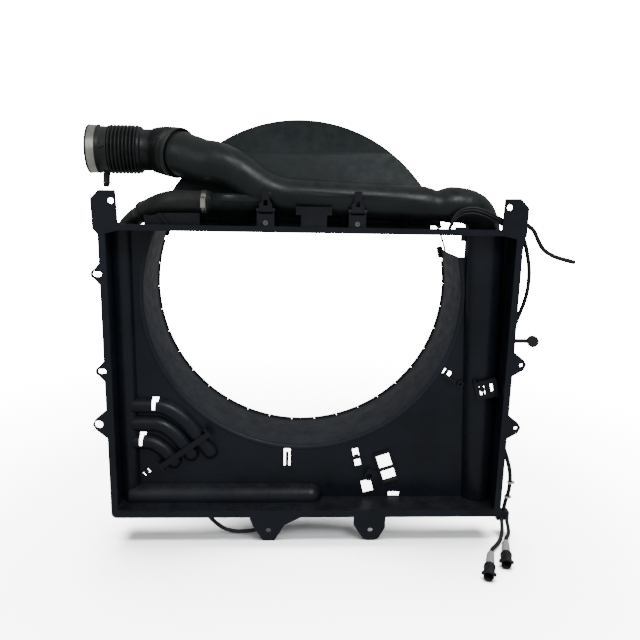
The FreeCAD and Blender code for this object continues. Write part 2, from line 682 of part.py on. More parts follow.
def latch_base(x):
    foot = box(x - EAR_OUTER, x + EAR_OUTER, BASE_FRONT, BASE_REAR, RAIL_TOP, PIVOT_Z - KNUCKLE_R - 2)
    shapes = [foot]
    for x0 in (x - EAR_OUTER, x + EAR_INNER):
        shapes.append(cyl((x0, PIVOT_Y, PIVOT_Z), (1, 0, 0), KNUCKLE_R, EAR_WIDTH))
        shapes.append(box(x0, x0 + EAR_WIDTH, BASE_FRONT, BASE_REAR, PIVOT_Z - 8, PIVOT_Z))
    base = fuse(shapes)
    base = base.cut(cyl((x - 20, PIVOT_Y, PIVOT_Z), (1, 0, 0), PIN_BORE, 40))
    return base.cut(cyl((x, 0, SCREW_Z), (0, 1, 0), SCREW_R + FIT, 30))


def latch_pin(x):
    """Pin with a head on each side of the base's ears."""
    length = 2 * EAR_OUTER
    pin = cyl((x - EAR_OUTER, PIVOT_Y, PIVOT_Z), (1, 0, 0), LATCH_PIN_R, length)
    heads = [cyl((x + side, PIVOT_Y, PIVOT_Z), (direction, 0, 0), LATCH_PIN_R + 0.9, 0.9)
             for side, direction in ((EAR_OUTER, 1), (-EAR_OUTER, -1))]
    return fuse([pin] + heads)


def latch(x):
    """Plate with a knuckle at its foot and a hook over the duct's catch."""
    front = PIVOT_Y - KNUCKLE_R
    back = front + LATCH_THICK
    half = KNUCKLE_WIDTH / 2
    body = plate([(x - half, PIVOT_Z), (x + half, PIVOT_Z), (x + half, PIVOT_Z + 9),
                  (x + half - 4, PIVOT_Z + 14), (x + half - 4, LATCH_TOP), (x - half + 4, LATCH_TOP),
                  (x - half + 4, PIVOT_Z + 14), (x - half, PIVOT_Z + 9)], front, back)
    knuckle = cyl((x - half, PIVOT_Y, PIVOT_Z), (1, 0, 0), KNUCKLE_R, KNUCKLE_WIDTH)
    hook = box(x - half + 4, x + half - 4, front, BASE_FRONT + 2.4, CATCH_Z + 0.3, LATCH_TOP)
    sides = [box(x0, x0 + 1.5, front, back + 1.5, PIVOT_Z, PIVOT_Z + 9) for x0 in (x - half, x + half - 1.5)]
    solid = fuse([body, knuckle, hook] + sides)
    window = box(x - 3, x + 3, front - 1, back + 1, PIVOT_Z + 7, PIVOT_Z + 15)
    solid = solid.cut(window)
    return solid.cut(cyl((x - 20, PIVOT_Y, PIVOT_Z), (1, 0, 0), PIN_BORE, 40))


def hexagon(centre, direction, across, length):
    """A hexagonal bar along Y or Z."""
    radius = across / math.sqrt(3)
    points = []
    for i in range(7):
        a = math.radians(60 * i)
        if direction == "y":
            points.append(V(centre[0] + radius * math.cos(a), centre[1], centre[2] + radius * math.sin(a)))
        else:
            points.append(V(centre[0] + radius * math.cos(a), centre[1] + radius * math.sin(a), centre[2]))
    face = Part.Face(Part.makePolygon(points))
    return face.extrude(V(0, length, 0) if direction == "y" else V(0, 0, length))


def latch_screw(x):
    """Screw through the base into its upright, with a cross recess."""
    head = cyl((x, BASE_FRONT - 2.2, SCREW_Z), (0, 1, 0), 3.7, 2.2)
    shank = cyl((x, BASE_FRONT - 0.1, SCREW_Z), (0, 1, 0), SCREW_R, BASE_THICK + UPRIGHT_THICK)
    screw = head.fuse(shank)
    for wide, high in ((3.6, 0.8), (0.8, 3.6)):
        screw = screw.cut(box(x - wide / 2, x + wide / 2, 0, BASE_FRONT - 1,
                              SCREW_Z - high / 2, SCREW_Z + high / 2))
    return screw.removeSplitter()


# ---- inlet --------------------------------------------------------------------
BEAD_R = CUFF_R + 1.8
BAND_LEFT = INLET_END + 3
BAND_RIGHT = BAND_LEFT + CLAMP_WIDTH


def inlet_cuff():
    """Open rubber cuff with a bead each side of its clamp and a drain stub below."""
    profile = [(INLET_END, CUFF_BORE_R), (INLET_END, BEAD_R), (BAND_LEFT, BEAD_R), (BAND_LEFT, CUFF_R),
               (BAND_RIGHT, CUFF_R), (BAND_RIGHT, BEAD_R), (BAND_RIGHT + 3, BEAD_R - 1.5),
               (BELLOWS_LEFT - 6, CUFF_R - 0.8), (BELLOWS_LEFT, CUFF_R + 0.6), (BELLOWS_LEFT, CUFF_BORE_R)]
    cuff = spin_x(profile, INLET_Y, INLET_Z)
    x = BELLOWS_LEFT - 7
    stub = cyl((x, INLET_Y, INLET_Z - CUFF_BORE_R - 1), (-0.08, 0, -1), 5.5, 22)
    bore = cyl((x, INLET_Y, INLET_Z - CUFF_BORE_R + 2), (-0.08, 0, -1), 3.2, 30)
    tip = cyl((x - 1.3, INLET_Y, INLET_Z - CUFF_BORE_R - 19), (-0.08, 0, -1), 4.4, 5)
    tag = box(x - 4, x + 3, INLET_Y - CUFF_R - 1.4, INLET_Y - CUFF_R + 2, INLET_Z + 2, INLET_Z + 6)
    return fuse([cuff, stub, tip, tag]).cut(bore)


def bellows_profile(left, right, ribs):
    """Ribbed outside and plain inside, as (x, radius)."""
    pitch = (right - left) / ribs
    points = [(left, BELLOWS_BORE_R)]
    for i in range(ribs):
        x = left + i * pitch
        points += [(x, BELLOWS_ROOT_R), (x + pitch * 0.35, BELLOWS_R), (x + pitch * 0.65, BELLOWS_R)]
    return points + [(right, BELLOWS_ROOT_R), (right, BELLOWS_BORE_R)]


def inlet_bellows():
    return spin_x(bellows_profile(BELLOWS_LEFT, BELLOWS_RIGHT, BELLOWS_RIBS), INLET_Y, INLET_Z)


def inlet_neck():
    bore = NECK_R - NECK_WALL
    profile = [(BELLOWS_RIGHT, bore), (BELLOWS_RIGHT, BELLOWS_ROOT_R + 1.5), (BELLOWS_RIGHT + 3, BELLOWS_ROOT_R + 1.5),
               (BELLOWS_RIGHT + 6, NECK_R), (NECK_END, NECK_R), (NECK_END, bore)]
    return spin_x(profile, INLET_Y, INLET_Z)


def neck_bellows():
    """Fine ribs fanned round the bend, growing from the neck to the mouth cuff."""
    def radius(share):
        return NECK_R + (MOUTH_R + MOUTH_CUFF_WALL - NECK_R) * share ** 0.45 - 0.6
    stations = [0, 0.33, 0.66, 1]
    shapes = [Part.makeLoft([circle_at(*neck_station(s), radius(s) - 1.2) for s in stations], True, False)]
    for i in range(NECK_RIBS):
        share = (i + 0.5) / NECK_RIBS
        centre, direction = neck_station(share)
        half = NECK_BELLOWS_LENGTH / NECK_RIBS * 0.32
        shapes.append(cyl(centre - direction * half, direction, radius(share) + 0.5, 2 * half))
    bore = Part.makeLoft([circle_at(*neck_station(s), radius(s) - 3.2) for s in stations], True, False)
    bellows = fuse(shapes).cut(bore)
    # both ends are trimmed flat against their neighbours
    bellows = bellows.cut(cyl(MOUTH, MOUTH_AXIS, 60, 40))
    return bellows.cut(cyl(NECK_START, (-1, 0, 0), 60, 40)).removeSplitter()


def duct_cuff():
    """Rubber cuff over the duct mouth, with an inner step that the mouth butts against."""
    start = MOUTH
    outer = cyl(start, MOUTH_AXIS, MOUTH_R + MOUTH_CUFF_WALL + GAP + 0.3, MOUTH_CUFF)
    step = cyl(start - MOUTH_AXIS, MOUTH_AXIS, MOUTH_R - 4, MOUTH_CUFF + 2)
    # the bore opens towards the duct, which starts its bend inside it
    room = Part.makeCone(MOUTH_R + GAP + 0.3, MOUTH_R + GAP + 2.5, MOUTH_CUFF + 2, mouth_seat(), MOUTH_AXIS)
    return outer.cut([step, room])


def clamp_band(x0, x1, y, z, inner, side):
    """Clamp band with the flat pad that carries its screw; side is -1 front, 1 rear."""
    outer = inner + BAND_THICK
    band = cyl((x0, y, z), (1, 0, 0), outer, x1 - x0)
    y0, y1 = sorted((y + side * (outer - 3), y + side * (outer + 1)))
    pad = box(x0, x1, y0, y1, z - 8, z + 8)
    return band.fuse(pad).cut(cyl((x0 - 1, y, z), (1, 0, 0), inner, x1 - x0 + 2)).removeSplitter()


def clamp_screw_axis(y, inner, side):
    return y + side * (inner + BAND_THICK + 1 + 3)


def clamp_housing(x0, x1, y, z, inner, side):
    axis = clamp_screw_axis(y, inner, side)
    middle = (x0 + x1) / 2
    body = box(x0, x1, axis - 3, axis + 3, z - 6.5, z + 6.5)
    return body.cut(cyl((middle, axis, z - 10), (0, 0, 1), 2 + FIT, 20))


def clamp_screw(x0, x1, y, z, inner, side):
    """Worm screw along Z with a slotted hexagon head under the housing."""
    axis = clamp_screw_axis(y, inner, side)
    middle = (x0 + x1) / 2
    shank = cyl((middle, axis, z - 6.6), (0, 0, 1), 2, 16)
    head = hexagon((middle, axis, z - 10), "z", 5.0, 3.5)
    screw = shank.fuse(head)
    return screw.cut(box(middle - 4, middle + 4, axis - 0.5, axis + 0.5, z - 11, z - 9)).removeSplitter()


INLET_CLAMP = (BAND_LEFT, BAND_RIGHT, INLET_Y, INLET_Z, CUFF_R + GAP, 1)
VENT_CLAMP = (VENT_CLAMP_X - VENT_CLAMP_WIDTH / 2, VENT_CLAMP_X + VENT_CLAMP_WIDTH / 2,
              HOSE_Y, HOSE_Z, HOSE_R + GAP, -1)


# ---- branch hose --------------------------------------------------------------
HOSE_ROUTE = ((HOSE_END, HOSE_Y, HOSE_Z), (-172, HOSE_Y, HOSE_Z), (-208, HOSE_Y + 2, HOSE_Z),
              (-240, 52, 129))
PIPE_R = STUB_R - 0.2


def vent_hose():
    hose = swept(HOSE_ROUTE, HOSE_R, "vent hose")
    x = VENT_CLAMP[0] - 2
    bead = cyl((x, HOSE_Y, HOSE_Z), (1, 0, 0), HOSE_R + 1, 2)
    return hose.fuse(bead).cut(swept(HOSE_ROUTE, STUB_R + GAP, "vent hose bore")).removeSplitter()


def hose_end():
    end = V(*HOSE_ROUTE[-1])
    return end, (end - V(*HOSE_ROUTE[-2])).normalize()


def vent_pipe():
    """Pipe from the hose down through the rail into the left channel, with a collar."""
    end, direction = hose_end()
    start = end - direction * 14
    bend = end + direction * 30
    y = PANEL_REAR + PIPE_R + 2
    route = (tuple(start), tuple(bend), (LEFT_CHANNEL_X + 1, y + 2, 97), (LEFT_CHANNEL_X - 1, y + 0.6, 64),
             (LEFT_CHANNEL_X, y, 22))
    pipe = swept(route, PIPE_R, "vent pipe")
    collar = cyl(end, direction, HOSE_R + 1, 3)
    return pipe.fuse(collar).cut(swept(route, PIPE_R - 2, "vent pipe bore")).removeSplitter()


def hose_bracket():
    """Upright plate on the rail under the hose, with a foot and a stiffening rib."""
    y0 = HOSE_Y - 8
    y1 = y0 + 3
    top = HOSE_Z - 15.6
    web = plate([(-236, RAIL_TOP), (-236, top - 4), (-226, top - 5), (-212, top - 1),
                 (VENT_CLAMP[0] - 3, top), (VENT_CLAMP[0] - 3, RAIL_TOP)], y0, y1)
    foot = box(-238, VENT_CLAMP[0] - 3, y0, y0 + 16, RAIL_TOP, RAIL_TOP + 3)
    rib = plate([(-216, top - 1), (-211, top - 1), (-196, RAIL_TOP + 1), (-201, RAIL_TOP + 1)],
                y0 - 4, y0 + 1)
    return fuse([web, foot, rib])


# ---- wiring -------------------------------------------------------------------
WALL_RIGHT = TRAY_RIGHT + WALL
SIDE_X = WALL_RIGHT + HARNESS_R + 2.0
SIDE_Y = 30.0
JUNCTION = (338.5, 30.0, -362.0)
SIDE_ROUTE = ((317.0, 13.0, 117.0), (329.5, 20.0, 103.5), (341.0, SIDE_Y, 77.0), (347.5, SIDE_Y, 45.0),
              (345.5, SIDE_Y, 8.0), (334.0, SIDE_Y, -26.0), (SIDE_X, SIDE_Y, -56.0),
              (SIDE_X, SIDE_Y, -100.0), (SIDE_X + 0.4, SIDE_Y, -150.0), (SIDE_X, SIDE_Y, -200.0),
              (SIDE_X + 1.0, SIDE_Y, -232.0), (336.5, SIDE_Y, -258.0), (345.5, SIDE_Y, -289.0),
              (345.5, SIDE_Y, -319.0), (339.5, SIDE_Y, -341.0), (JUNCTION[0], SIDE_Y, JUNCTION[2] + 5))
WALL_UNDER = TRAY_BOTTOM - WALL
UNDER_Z = WALL_UNDER - HARNESS_R - 2.0
LOOP_Y = 22.0
BOTTOM_ROUTE = ((-206.0, LOOP_Y, UNDER_Z), (-176.0, LOOP_Y, UNDER_Z + 0.4), (-152.0, LOOP_Y, -354.0),
                (-139.0, LOOP_Y, -371.0), (-118.0, LOOP_Y, -385.5), (-90.0, LOOP_Y, -387.2),
                (-60.0, LOOP_Y, -381.0), (-32.0, LOOP_Y, -363.0), (-4.0, LOOP_Y, UNDER_Z - 0.6),
                (36.0, LOOP_Y, UNDER_Z), (86.0, LOOP_Y, UNDER_Z + 0.4), (136.0, LOOP_Y, UNDER_Z),
                (186.0, LOOP_Y, UNDER_Z + 0.4), (236.0, LOOP_Y, UNDER_Z), (276.0, LOOP_Y + 1, UNDER_Z - 1),
                (306.0, 27.0, -354.0), (JUNCTION[0] - 9, 30.0, JUNCTION[2]))
BREATHER_ROUTE = ((306.0, 30.0, 121.0), (331.0, 30.0, 123.5), (348.0, 30.0, 113.0), (356.0, 30.0, 96.0),
                  (366.0, 30.0, 81.5), (385.0, 30.0, 71.5), (416.0, 30.0, 64.0))


def side_conduit():
    return swept(SIDE_ROUTE, HARNESS_R, "side conduit")


def bottom_conduit():
    return swept(BOTTOM_ROUTE, HARNESS_R, "bottom conduit")


def breather_pipe():
    """Vent pipe with an open end, in a block on the rail beside the duct."""
    return swept_tube(BREATHER_ROUTE, BREATHER_R, BREATHER_R - 1, "breather pipe")


def breather_block():
    """Block on the rail that holds the breather pipe's inner end."""
    x, y, z = BREATHER_ROUTE[0]
    block = box(x + 8, x + 20, y - 7, y + 7, RAIL_TOP, z + 8)
    return block.cut(swept(BREATHER_ROUTE, BREATHER_R + GAP, "breather bore"))


def wall_clip(x, y, z):
    """Open clip that holds a conduit against the right wall."""
    clip = box(WALL_RIGHT, x + HARNESS_R + 2, y - HARNESS_R - 2.2, y + HARNESS_R + 2.2, z - 5, z + 5)
    clip = clip.cut(cyl((x, y, z - 10), (0, 0, 1), HARNESS_R + 0.8, 20))
    return clip.cut(box(x, x + 20, y - 1.6, y + 1.6, z - 10, z + 10))


def under_clip(x, y, z):
    """The same clip under the bottom wall."""
    clip = box(x - 5, x + 5, y - HARNESS_R - 2.2, y + HARNESS_R + 2.2, z - HARNESS_R - 2, WALL_UNDER)
    clip = clip.cut(cyl((x - 10, y, z), (1, 0, 0), HARNESS_R + 0.8, 20))
    return clip.cut(box(x - 10, x + 10, y - 1.6, y + 1.6, z - 20, z))


def conduit_clips():
    side = [wall_clip(SIDE_X + 0.2, SIDE_Y, z) for z in (-75, -150, -215)]
    under = [under_clip(x, LOOP_Y, UNDER_Z + 0.2) for x in (12, 110, 210)]
    return group(side + under)


def end_housings():
    """Sockets fixed to the pan that take the conduits' far ends."""
    x, y, z = SIDE_ROUTE[0]
    direction = (V(*SIDE_ROUTE[0]) - V(*SIDE_ROUTE[1])).normalize()
    upper = box(x - 9, x + 5, y - 8, y + 5, RAIL_TOP, z + 9)
    upper = upper.cut(cyl(V(x, y, z) - direction * 20, direction, HARNESS_R + GAP, 20.3))
    x, y, z = BOTTOM_ROUTE[0]
    lower = box(x - 16, x + 2, y - 7, y + 7, z - 6.5, WALL_UNDER)
    lower = lower.cut(cyl((x - GAP, y, z), (1, 0, 0), HARNESS_R + GAP, 20))
    return group([upper, lower])


def tie(point, direction, outer):
    """Cable tie with its head."""
    d = V(*direction).normalize()
    p = V(*point)
    strap = cyl(p - d * 1.6, d, outer + 1.0, 3.2)
    head = box(p.x + outer, p.x + outer + 3.4, p.y - 2.2, p.y + 2.2, p.z - 2, p.z + 2)
    return strap.fuse(head).cut(cyl(p - d * 10, d, outer, 20))


def cable_ties():
    lower = [V(*SIDE_ROUTE[-3]), V(*SIDE_ROUTE[-2])]
    between = (lower[0] + lower[1]) * 0.5
    upper = (V(*SIDE_ROUTE[-4]) + lower[0]) * 0.5
    return group([tie(between, lower[1] - lower[0], HARNESS_R + 0.1),
                  tie(upper, lower[0] - V(*SIDE_ROUTE[-4]), HARNESS_R + 0.1)])


def end_bore(route, depth, radius):
    """A bore that takes the last stretch of a route."""
    end = V(*route[-1])
    direction = (V(*route[-2]) - end).normalize()
    return cyl(end - direction * GAP, direction, radius, depth)


def harness_junction():
    """Moulded block at the lower corner, fixed to the wall, where two leads leave."""
    x, y, z = JUNCTION
    body = box(x - 12, x + 8, y - 7.5, y + 7, z - 7, z + 8)
    arm = box(WALL_RIGHT, x - 6, y - 3, y + 3, z + 20, z + 24)
    post = box(x - 11, x - 6, y - 3, y + 3, z + 3, z + 24)
    block = fuse([body, arm, post])
    for route in (SIDE_ROUTE, BOTTOM_ROUTE):
        block = block.cut(end_bore(route, 20, HARNESS_R + GAP))
    for lead in (LEAD_A, LEAD_B):
        block = block.cut(lead_end(lead, LEAD_R + GAP))
    return block.removeSplitter()


def lead_end(route, radius):
    start = V(*route[0])
    direction = (V(*route[1]) - start).normalize()
    return cyl(start - direction * GAP, direction, radius, 20)


LEAD_Z = FLOOR + LEAD_R + 0.2
PLUG_Z = FLOOR + BARREL_R + 1.4
LEAD_A = ((334.6, 26.0, -364.5), (333.2, 11.0, -376.0), (327.0, -6.0, -385.0), (314.0, -26.0, -385.5),
          (298.4, -46.5, PLUG_Z), (293.2, -62.5, PLUG_Z))
LEAD_B = ((342.0, 26.0, -364.5), (343.8, 13.5, -375.5), (341.2, 1.0, -383.5), (331.2, -13.0, PLUG_Z),
          (326.6, -30.0, PLUG_Z))


def plug_axis(route):
    end = V(*route[-1])
    direction = end - V(*route[-2])
    direction.z = 0
    return end, direction.normalize()


def lead(route, name):
    return swept(route, LEAD_R, name)


COLLAR_LENGTH = 30.0
BARREL_LENGTH = 36.0
CABLE_SEAT = 6.0


def collar(route):
    """Ribbed white seal, wider towards the plug, with the cable's end in its bore."""
    end, d = plug_axis(route)
    start = end - d * CABLE_SEAT
    shapes = [Part.makeCone(4.6, 6.6, COLLAR_LENGTH, start, d)]
    for i in range(4):
        shapes.append(cyl(start + d * (3 + 7.2 * i), d, 5.8 + 0.5 * i, 3.4))
    return fuse(shapes).cut(cyl(start - d, d, LEAD_R + GAP, CABLE_SEAT + 1 + GAP))


def barrel(route):
    """Plug body with a flared base, two side lugs and an open face."""
    end, d = plug_axis(route)
    start = end + d * (COLLAR_LENGTH - CABLE_SEAT)
    across = d.cross(V(0, 0, 1))
    shapes = [cyl(start, d, BARREL_R, BARREL_LENGTH), cyl(start, d, BARREL_R + 1.2, 5)]
    bar = Part.makeBox(2 * BARREL_R + 6, 5, 4, V(-BARREL_R - 3, -2.5, -2))
    bar.rotate(V(0, 0, 0), V(0, 0, 1), math.degrees(math.atan2(across.y, across.x)))
    bar.translate(start + d * (BARREL_LENGTH - 8))
    body = fuse(shapes + [bar])
    return body.cut(cyl(start + d * 14, d, BARREL_R - 2, BARREL_LENGTH)).removeSplitter()


def insert(route):
    """Contact block inside the plug."""
    end, d = plug_axis(route)
    start = end + d * (COLLAR_LENGTH - CABLE_SEAT + 14)
    block = cyl(start, d, BARREL_R - 3.4, 10)
    across = d.cross(V(0, 0, 1))
    for side in (-2.2, 2.2):
        block = block.cut(cyl(start + d * 4 + across * side, d, 0.9, 8))
    return block


def elbow_wires():
    """Two wires along the duct elbow, from the rail clip to the upper socket."""
    routes = []
    for dy, dz in ((0, 0), (-3.2, 1.0)):
        routes.append(((212, 6.5 + dy + 1, 113 + dz), (216, 6.5 + dy, 128 + dz), (226, 6 + dy, 139 + dz),
                       (243, 6 + dy, 143.5 + dz), (262, 6.5 + dy, 139.5 + dz), (281, 8 + dy, 131 + dz),
                       (296, 9.5 + dy, 123 + dz), (307.2, 13 + dy, 117.5 + dz)))
    return group([swept(route, WIRE_R, "elbow wire") for route in routes])


def wire_clip():
    """Clip plate on the rail that the elbow wires rise from."""
    y0 = BASE_FRONT
    block = box(206, 241, y0, y0 + 10, RAIL_TOP, RAIL_TOP + 5)
    tab = box(221, 241, y0, y0 + 3, RAIL_TOP, RAIL_TOP + 9)
    solid = fuse([block, tab])
    for dy, dz in ((0, 0), (-3.2, 1.0)):
        solid = solid.cut(cyl((212 - 0.25, 6.5 + dy + 1, RAIL_TOP + 1), (0, 0, 1), WIRE_R + 0.5, 12))
    return solid


# ---- small pieces on the flange and the panel ---------------------------------
BUTTON_X = 352.0
BUTTON_Z = -55.0
BUTTON_R = 9.0


def rubber_strap():
    """Strap from the right wall to the round button."""
    y = WALL
    strap = box(WALL_RIGHT, BUTTON_X, y, y + 3, BUTTON_Z - 3, BUTTON_Z + 3)
    root = box(WALL_RIGHT, WALL_RIGHT + 4, y, y + 10, BUTTON_Z - 7, BUTTON_Z + 7)
    return fuse([strap, root, cyl((BUTTON_X, y, BUTTON_Z), (0, 1, 0), 5, 3)])


def rubber_button():
    body = cyl((BUTTON_X, WALL - 4, BUTTON_Z), (0, 1, 0), BUTTON_R, 4)
    rear = cyl((BUTTON_X, WALL + 3, BUTTON_Z), (0, 1, 0), BUTTON_R - 1, 2.5)
    body = body.makeFillet(1.2, [e for e in body.Edges if abs(e.CenterOfMass.y - (WALL - 4)) < 0.1
                                 and e.Length > 20])
    return group([body, rear])


def panel_piece(x, z, wide, high, turn, y0, y1):
    return turned_box(x, z, wide, high, turn, y0, y1)


def grow(window, amount):
    x, z, wide, high, turn = window
    return x, z, wide + amount, high + amount, turn


def holder_clip():
    """Frame in the right holder window with a spring tongue and open corners."""
    x, z, wide, high, turn = HOLDER_WINDOW
    frame = turned_box(x, z, wide + 8, high + 8, turn, 24, 27)
    seat_y = 27
    frame = frame.cut(turned_box(x, z, wide - 6, high - 6, turn, 20, 70))
    tongue = turned_box(x + 2, z, 9, high - 5, turn, seat_y - 3, seat_y)
    peg = cyl((x - 8, seat_y - 6, z + 1), (0, 1, 0), 4, 6)
    bar = turned_box(x - 6, z, 3, high - 4, turn, seat_y - 3, seat_y)
    legs = [turned_box(x + dx, z, 4, high + 6, turn, seat_y - 1, 48) for dx in (-wide / 2 - 2, wide / 2 + 2)]
    holder = fuse([frame, tongue, peg, bar] + legs)
    return holder.cut(right_channel(GAP, TRAY_TOP))


def window_clip(window, depth=4.0):
    """Clip that fills part of a window and rests on the front of the panel."""
    x, z, wide, high, turn = window
    face = turned_box(x, z, wide + 5, 5, turn, PAN_DEPTH - 2.4, PAN_DEPTH)
    stem = turned_box(x, z, wide - 2, 4, turn, PAN_DEPTH - 1, PAN_DEPTH + WALL + depth)
    return face.fuse(stem).removeSplitter()


def centre_clip():
    """Long spring clip in the slot under the ring."""
    x, z, wide, high, turn = CENTRE_WINDOW
    frame = box(x - wide / 2 - 3, x + wide / 2 + 3, PAN_DEPTH - 2.5, PAN_DEPTH, z - high / 2 - 3, z - high / 2 + 3)
    tongue = box(x - 2.2, x + 2.2, PAN_DEPTH - 2.5, PAN_DEPTH + 6, z - high / 2 + 1, z + high / 2 - 8)
    hook = box(x - 2.2, x + 2.2, PAN_DEPTH - 6, PAN_DEPTH - 2, z + high / 2 - 12, z + high / 2 - 8)
    return fuse([frame, tongue, hook])


def connector_holder():
    """Holder beside the large window, with a round peg and a low frame."""
    x, z, wide, high, turn = BOX_WINDOW
    frame = turned_box(x, z, wide + 7, high + 7, turn, PAN_DEPTH - 6, PAN_DEPTH)
    frame = frame.cut(turned_box(x, z, wide + 1, high + 1, turn, 20, 70))
    bridge = turned_box(x, z - 2, wide + 3, 4, turn, PAN_DEPTH - 6, PAN_DEPTH - 1)
    peg = cyl((113, PAN_DEPTH - 12, -298.5), (0, 1, 0), 8, 12)
    peg = peg.cut(cyl((113, PAN_DEPTH - 13, -298.5), (0, 1, 0), 5, 8))
    base = box(105, 127, PAN_DEPTH - 4, PAN_DEPTH, -304, -293)
    return fuse([frame, bridge, base]).fuse(peg).removeSplitter()


def slot_clip():
    """Clip with a ledge in the slot at the right of the ring."""
    x, z, wide, high, turn = SLOT_WINDOW
    ledge = turned_box(x + 3, z - 7.6, wide + 9, 4, turn - 4, PAN_DEPTH - 9, PAN_DEPTH)
    tongue = turned_box(x - 3, z, 5, high + 6, turn, PAN_DEPTH - 2.5, PAN_DEPTH)
    boss = ring_of((256.3, PAN_DEPTH - 5, -140.7), (0, 1, 0), 5.5, 2.5, 5)
    return group([ledge.fuse(tongue).removeSplitter(), boss])


def channel_strap():
    """Flat bar across the branch channels on two feet."""
    p0 = V(-227, 0, -280)
    p1 = V(-150, 0, -224)
    length = (p1 - p0).Length
    turn = math.degrees(math.atan2(p1.z - p0.z, p1.x - p0.x))
    middle = (p0 + p1) * 0.5
    top = PAN_DEPTH - 13 - GAP
    bar = turned_box(middle.x, middle.z, length, 9, turn, top - 3, top)
    parts = [bar]
    for point in (p0, p1):
        parts.append(turned_box(point.x, point.z, 6, 9, turn, top - 3, PAN_DEPTH))
        parts.append(turned_box(point.x, point.z, 3, 24, turn, top - 3, top + 2))
    return fuse(parts)


# ---- export -------------------------------------------------------------------
def build():
    ring_stop = ring_angle(RING_END_RIGHT)
    left_stop = 180 - ring_angle(TRAY_TOP)
    first, second = LATCH_X
    nodes = {
        "shroud_pan": shroud_pan(),
        "fan_ring": fan_ring(),
        "ring_lip_lower": lip_segments(left_stop + 7, 360 + ring_stop - 4),
        "upper_cowl": upper_cowl(),
        "ring_lip_upper": lip_segments(ring_angle(RAIL_TOP) + 2, 180 - ring_angle(RAIL_TOP) - 2),
        "cowl_hook_left": cowl_hook_left(),
        "cowl_hook_right": cowl_hook_right(),
        "air_duct": air_duct(),
        "duct_bracket": duct_bracket(),
        "latch_base_left": latch_base(first),
        "latch_base_right": latch_base(second),
        "latch_pin_left": latch_pin(first),
        "latch_pin_right": latch_pin(second),
        "latch_screws": group([latch_screw(x) for x in LATCH_X]),
        "latch_left": latch(first),
        "latch_right": latch(second),
        "duct_cuff": duct_cuff(),
        "neck_bellows": neck_bellows(),
        "inlet_neck": inlet_neck(),
        "inlet_bellows": inlet_bellows(),
        "inlet_cuff": inlet_cuff(),
        "inlet_clamp_band": clamp_band(*INLET_CLAMP),
        "inlet_clamp_housing": clamp_housing(*INLET_CLAMP),
        "inlet_clamp_screw": clamp_screw(*INLET_CLAMP),
        "vent_hose": vent_hose(),
        "vent_pipe": vent_pipe(),
        "hose_bracket": hose_bracket(),
        "vent_clamp_band": clamp_band(*VENT_CLAMP),
        "vent_clamp_housing": clamp_housing(*VENT_CLAMP),
        "vent_clamp_screw": clamp_screw(*VENT_CLAMP),
        "channel_strap": channel_strap(),
        "side_conduit": side_conduit(),
        "bottom_conduit": bottom_conduit(),
        "conduit_clips": conduit_clips(),
        "end_housings": end_housings(),
        "cable_ties": cable_ties(),
        "harness_junction": harness_junction(),
        "lead_a": lead(LEAD_A, "lead a"),
        "lead_b": lead(LEAD_B, "lead b"),
        "plug_collar_a": collar(LEAD_A),
        "plug_collar_b": collar(LEAD_B),
        "plug_barrel_a": barrel(LEAD_A),
        "plug_barrel_b": barrel(LEAD_B),
        "plug_insert_a": insert(LEAD_A),
        "plug_insert_b": insert(LEAD_B),
        "breather_pipe": breather_pipe(),
        "breather_block": breather_block(),
        "elbow_wires": elbow_wires(),
        "wire_clip": wire_clip(),
        "rubber_strap": rubber_strap(),
        "rubber_button": rubber_button(),
        "holder_clip": holder_clip(),
        "hook_clip": window_clip(CLIP_WINDOW),
        "square_clip": window_clip(SQUARE_WINDOW),
        "centre_clip": centre_clip(),
        "connector_holder": connector_holder(),
        "slot_clip": slot_clip(),
    }
    return nodes


os.makedirs("parts", exist_ok=True)
for name, shape in build().items():
    solids = shape.Solids
    if len(solids) == 1:
        shape = solids[0]
    box_ = shape.BoundBox
    print(f"{name}: solids {len(solids)}, valid {shape.isValid()}, volume {shape.Volume / 1000:.1f} cm3, "
          f"x {box_.XMin:.0f}..{box_.XMax:.0f} y {box_.YMin:.0f}..{box_.YMax:.0f} z {box_.ZMin:.0f}..{box_.ZMax:.0f}")
    shape.exportStep(f"parts/{name}.step")
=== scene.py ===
import json
import math

import bmesh
import bpy
from mathutils import Matrix, Vector


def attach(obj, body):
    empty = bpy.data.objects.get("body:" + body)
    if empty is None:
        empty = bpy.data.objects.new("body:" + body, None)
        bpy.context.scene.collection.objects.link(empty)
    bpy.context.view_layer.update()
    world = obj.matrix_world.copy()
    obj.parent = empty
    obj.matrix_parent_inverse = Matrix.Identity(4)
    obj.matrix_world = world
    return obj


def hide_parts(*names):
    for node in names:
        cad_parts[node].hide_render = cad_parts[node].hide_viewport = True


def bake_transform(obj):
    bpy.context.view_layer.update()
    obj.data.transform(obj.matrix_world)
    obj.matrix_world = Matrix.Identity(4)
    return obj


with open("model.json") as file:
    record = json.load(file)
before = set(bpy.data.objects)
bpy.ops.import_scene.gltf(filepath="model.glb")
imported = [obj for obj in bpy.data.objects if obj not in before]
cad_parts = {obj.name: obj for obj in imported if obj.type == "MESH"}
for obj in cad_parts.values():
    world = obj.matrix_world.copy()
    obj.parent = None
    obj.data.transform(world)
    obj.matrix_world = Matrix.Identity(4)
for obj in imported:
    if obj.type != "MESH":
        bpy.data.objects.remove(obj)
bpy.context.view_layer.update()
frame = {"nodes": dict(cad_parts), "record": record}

# Radiator fan shroud. Metres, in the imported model's frame: origin where the fan axis
# meets the flange, +X right seen from the radiator, +Y towards the engine, +Z up.

nodes = frame["nodes"]
MM = 0.001
FLOOR_Z = -0.391


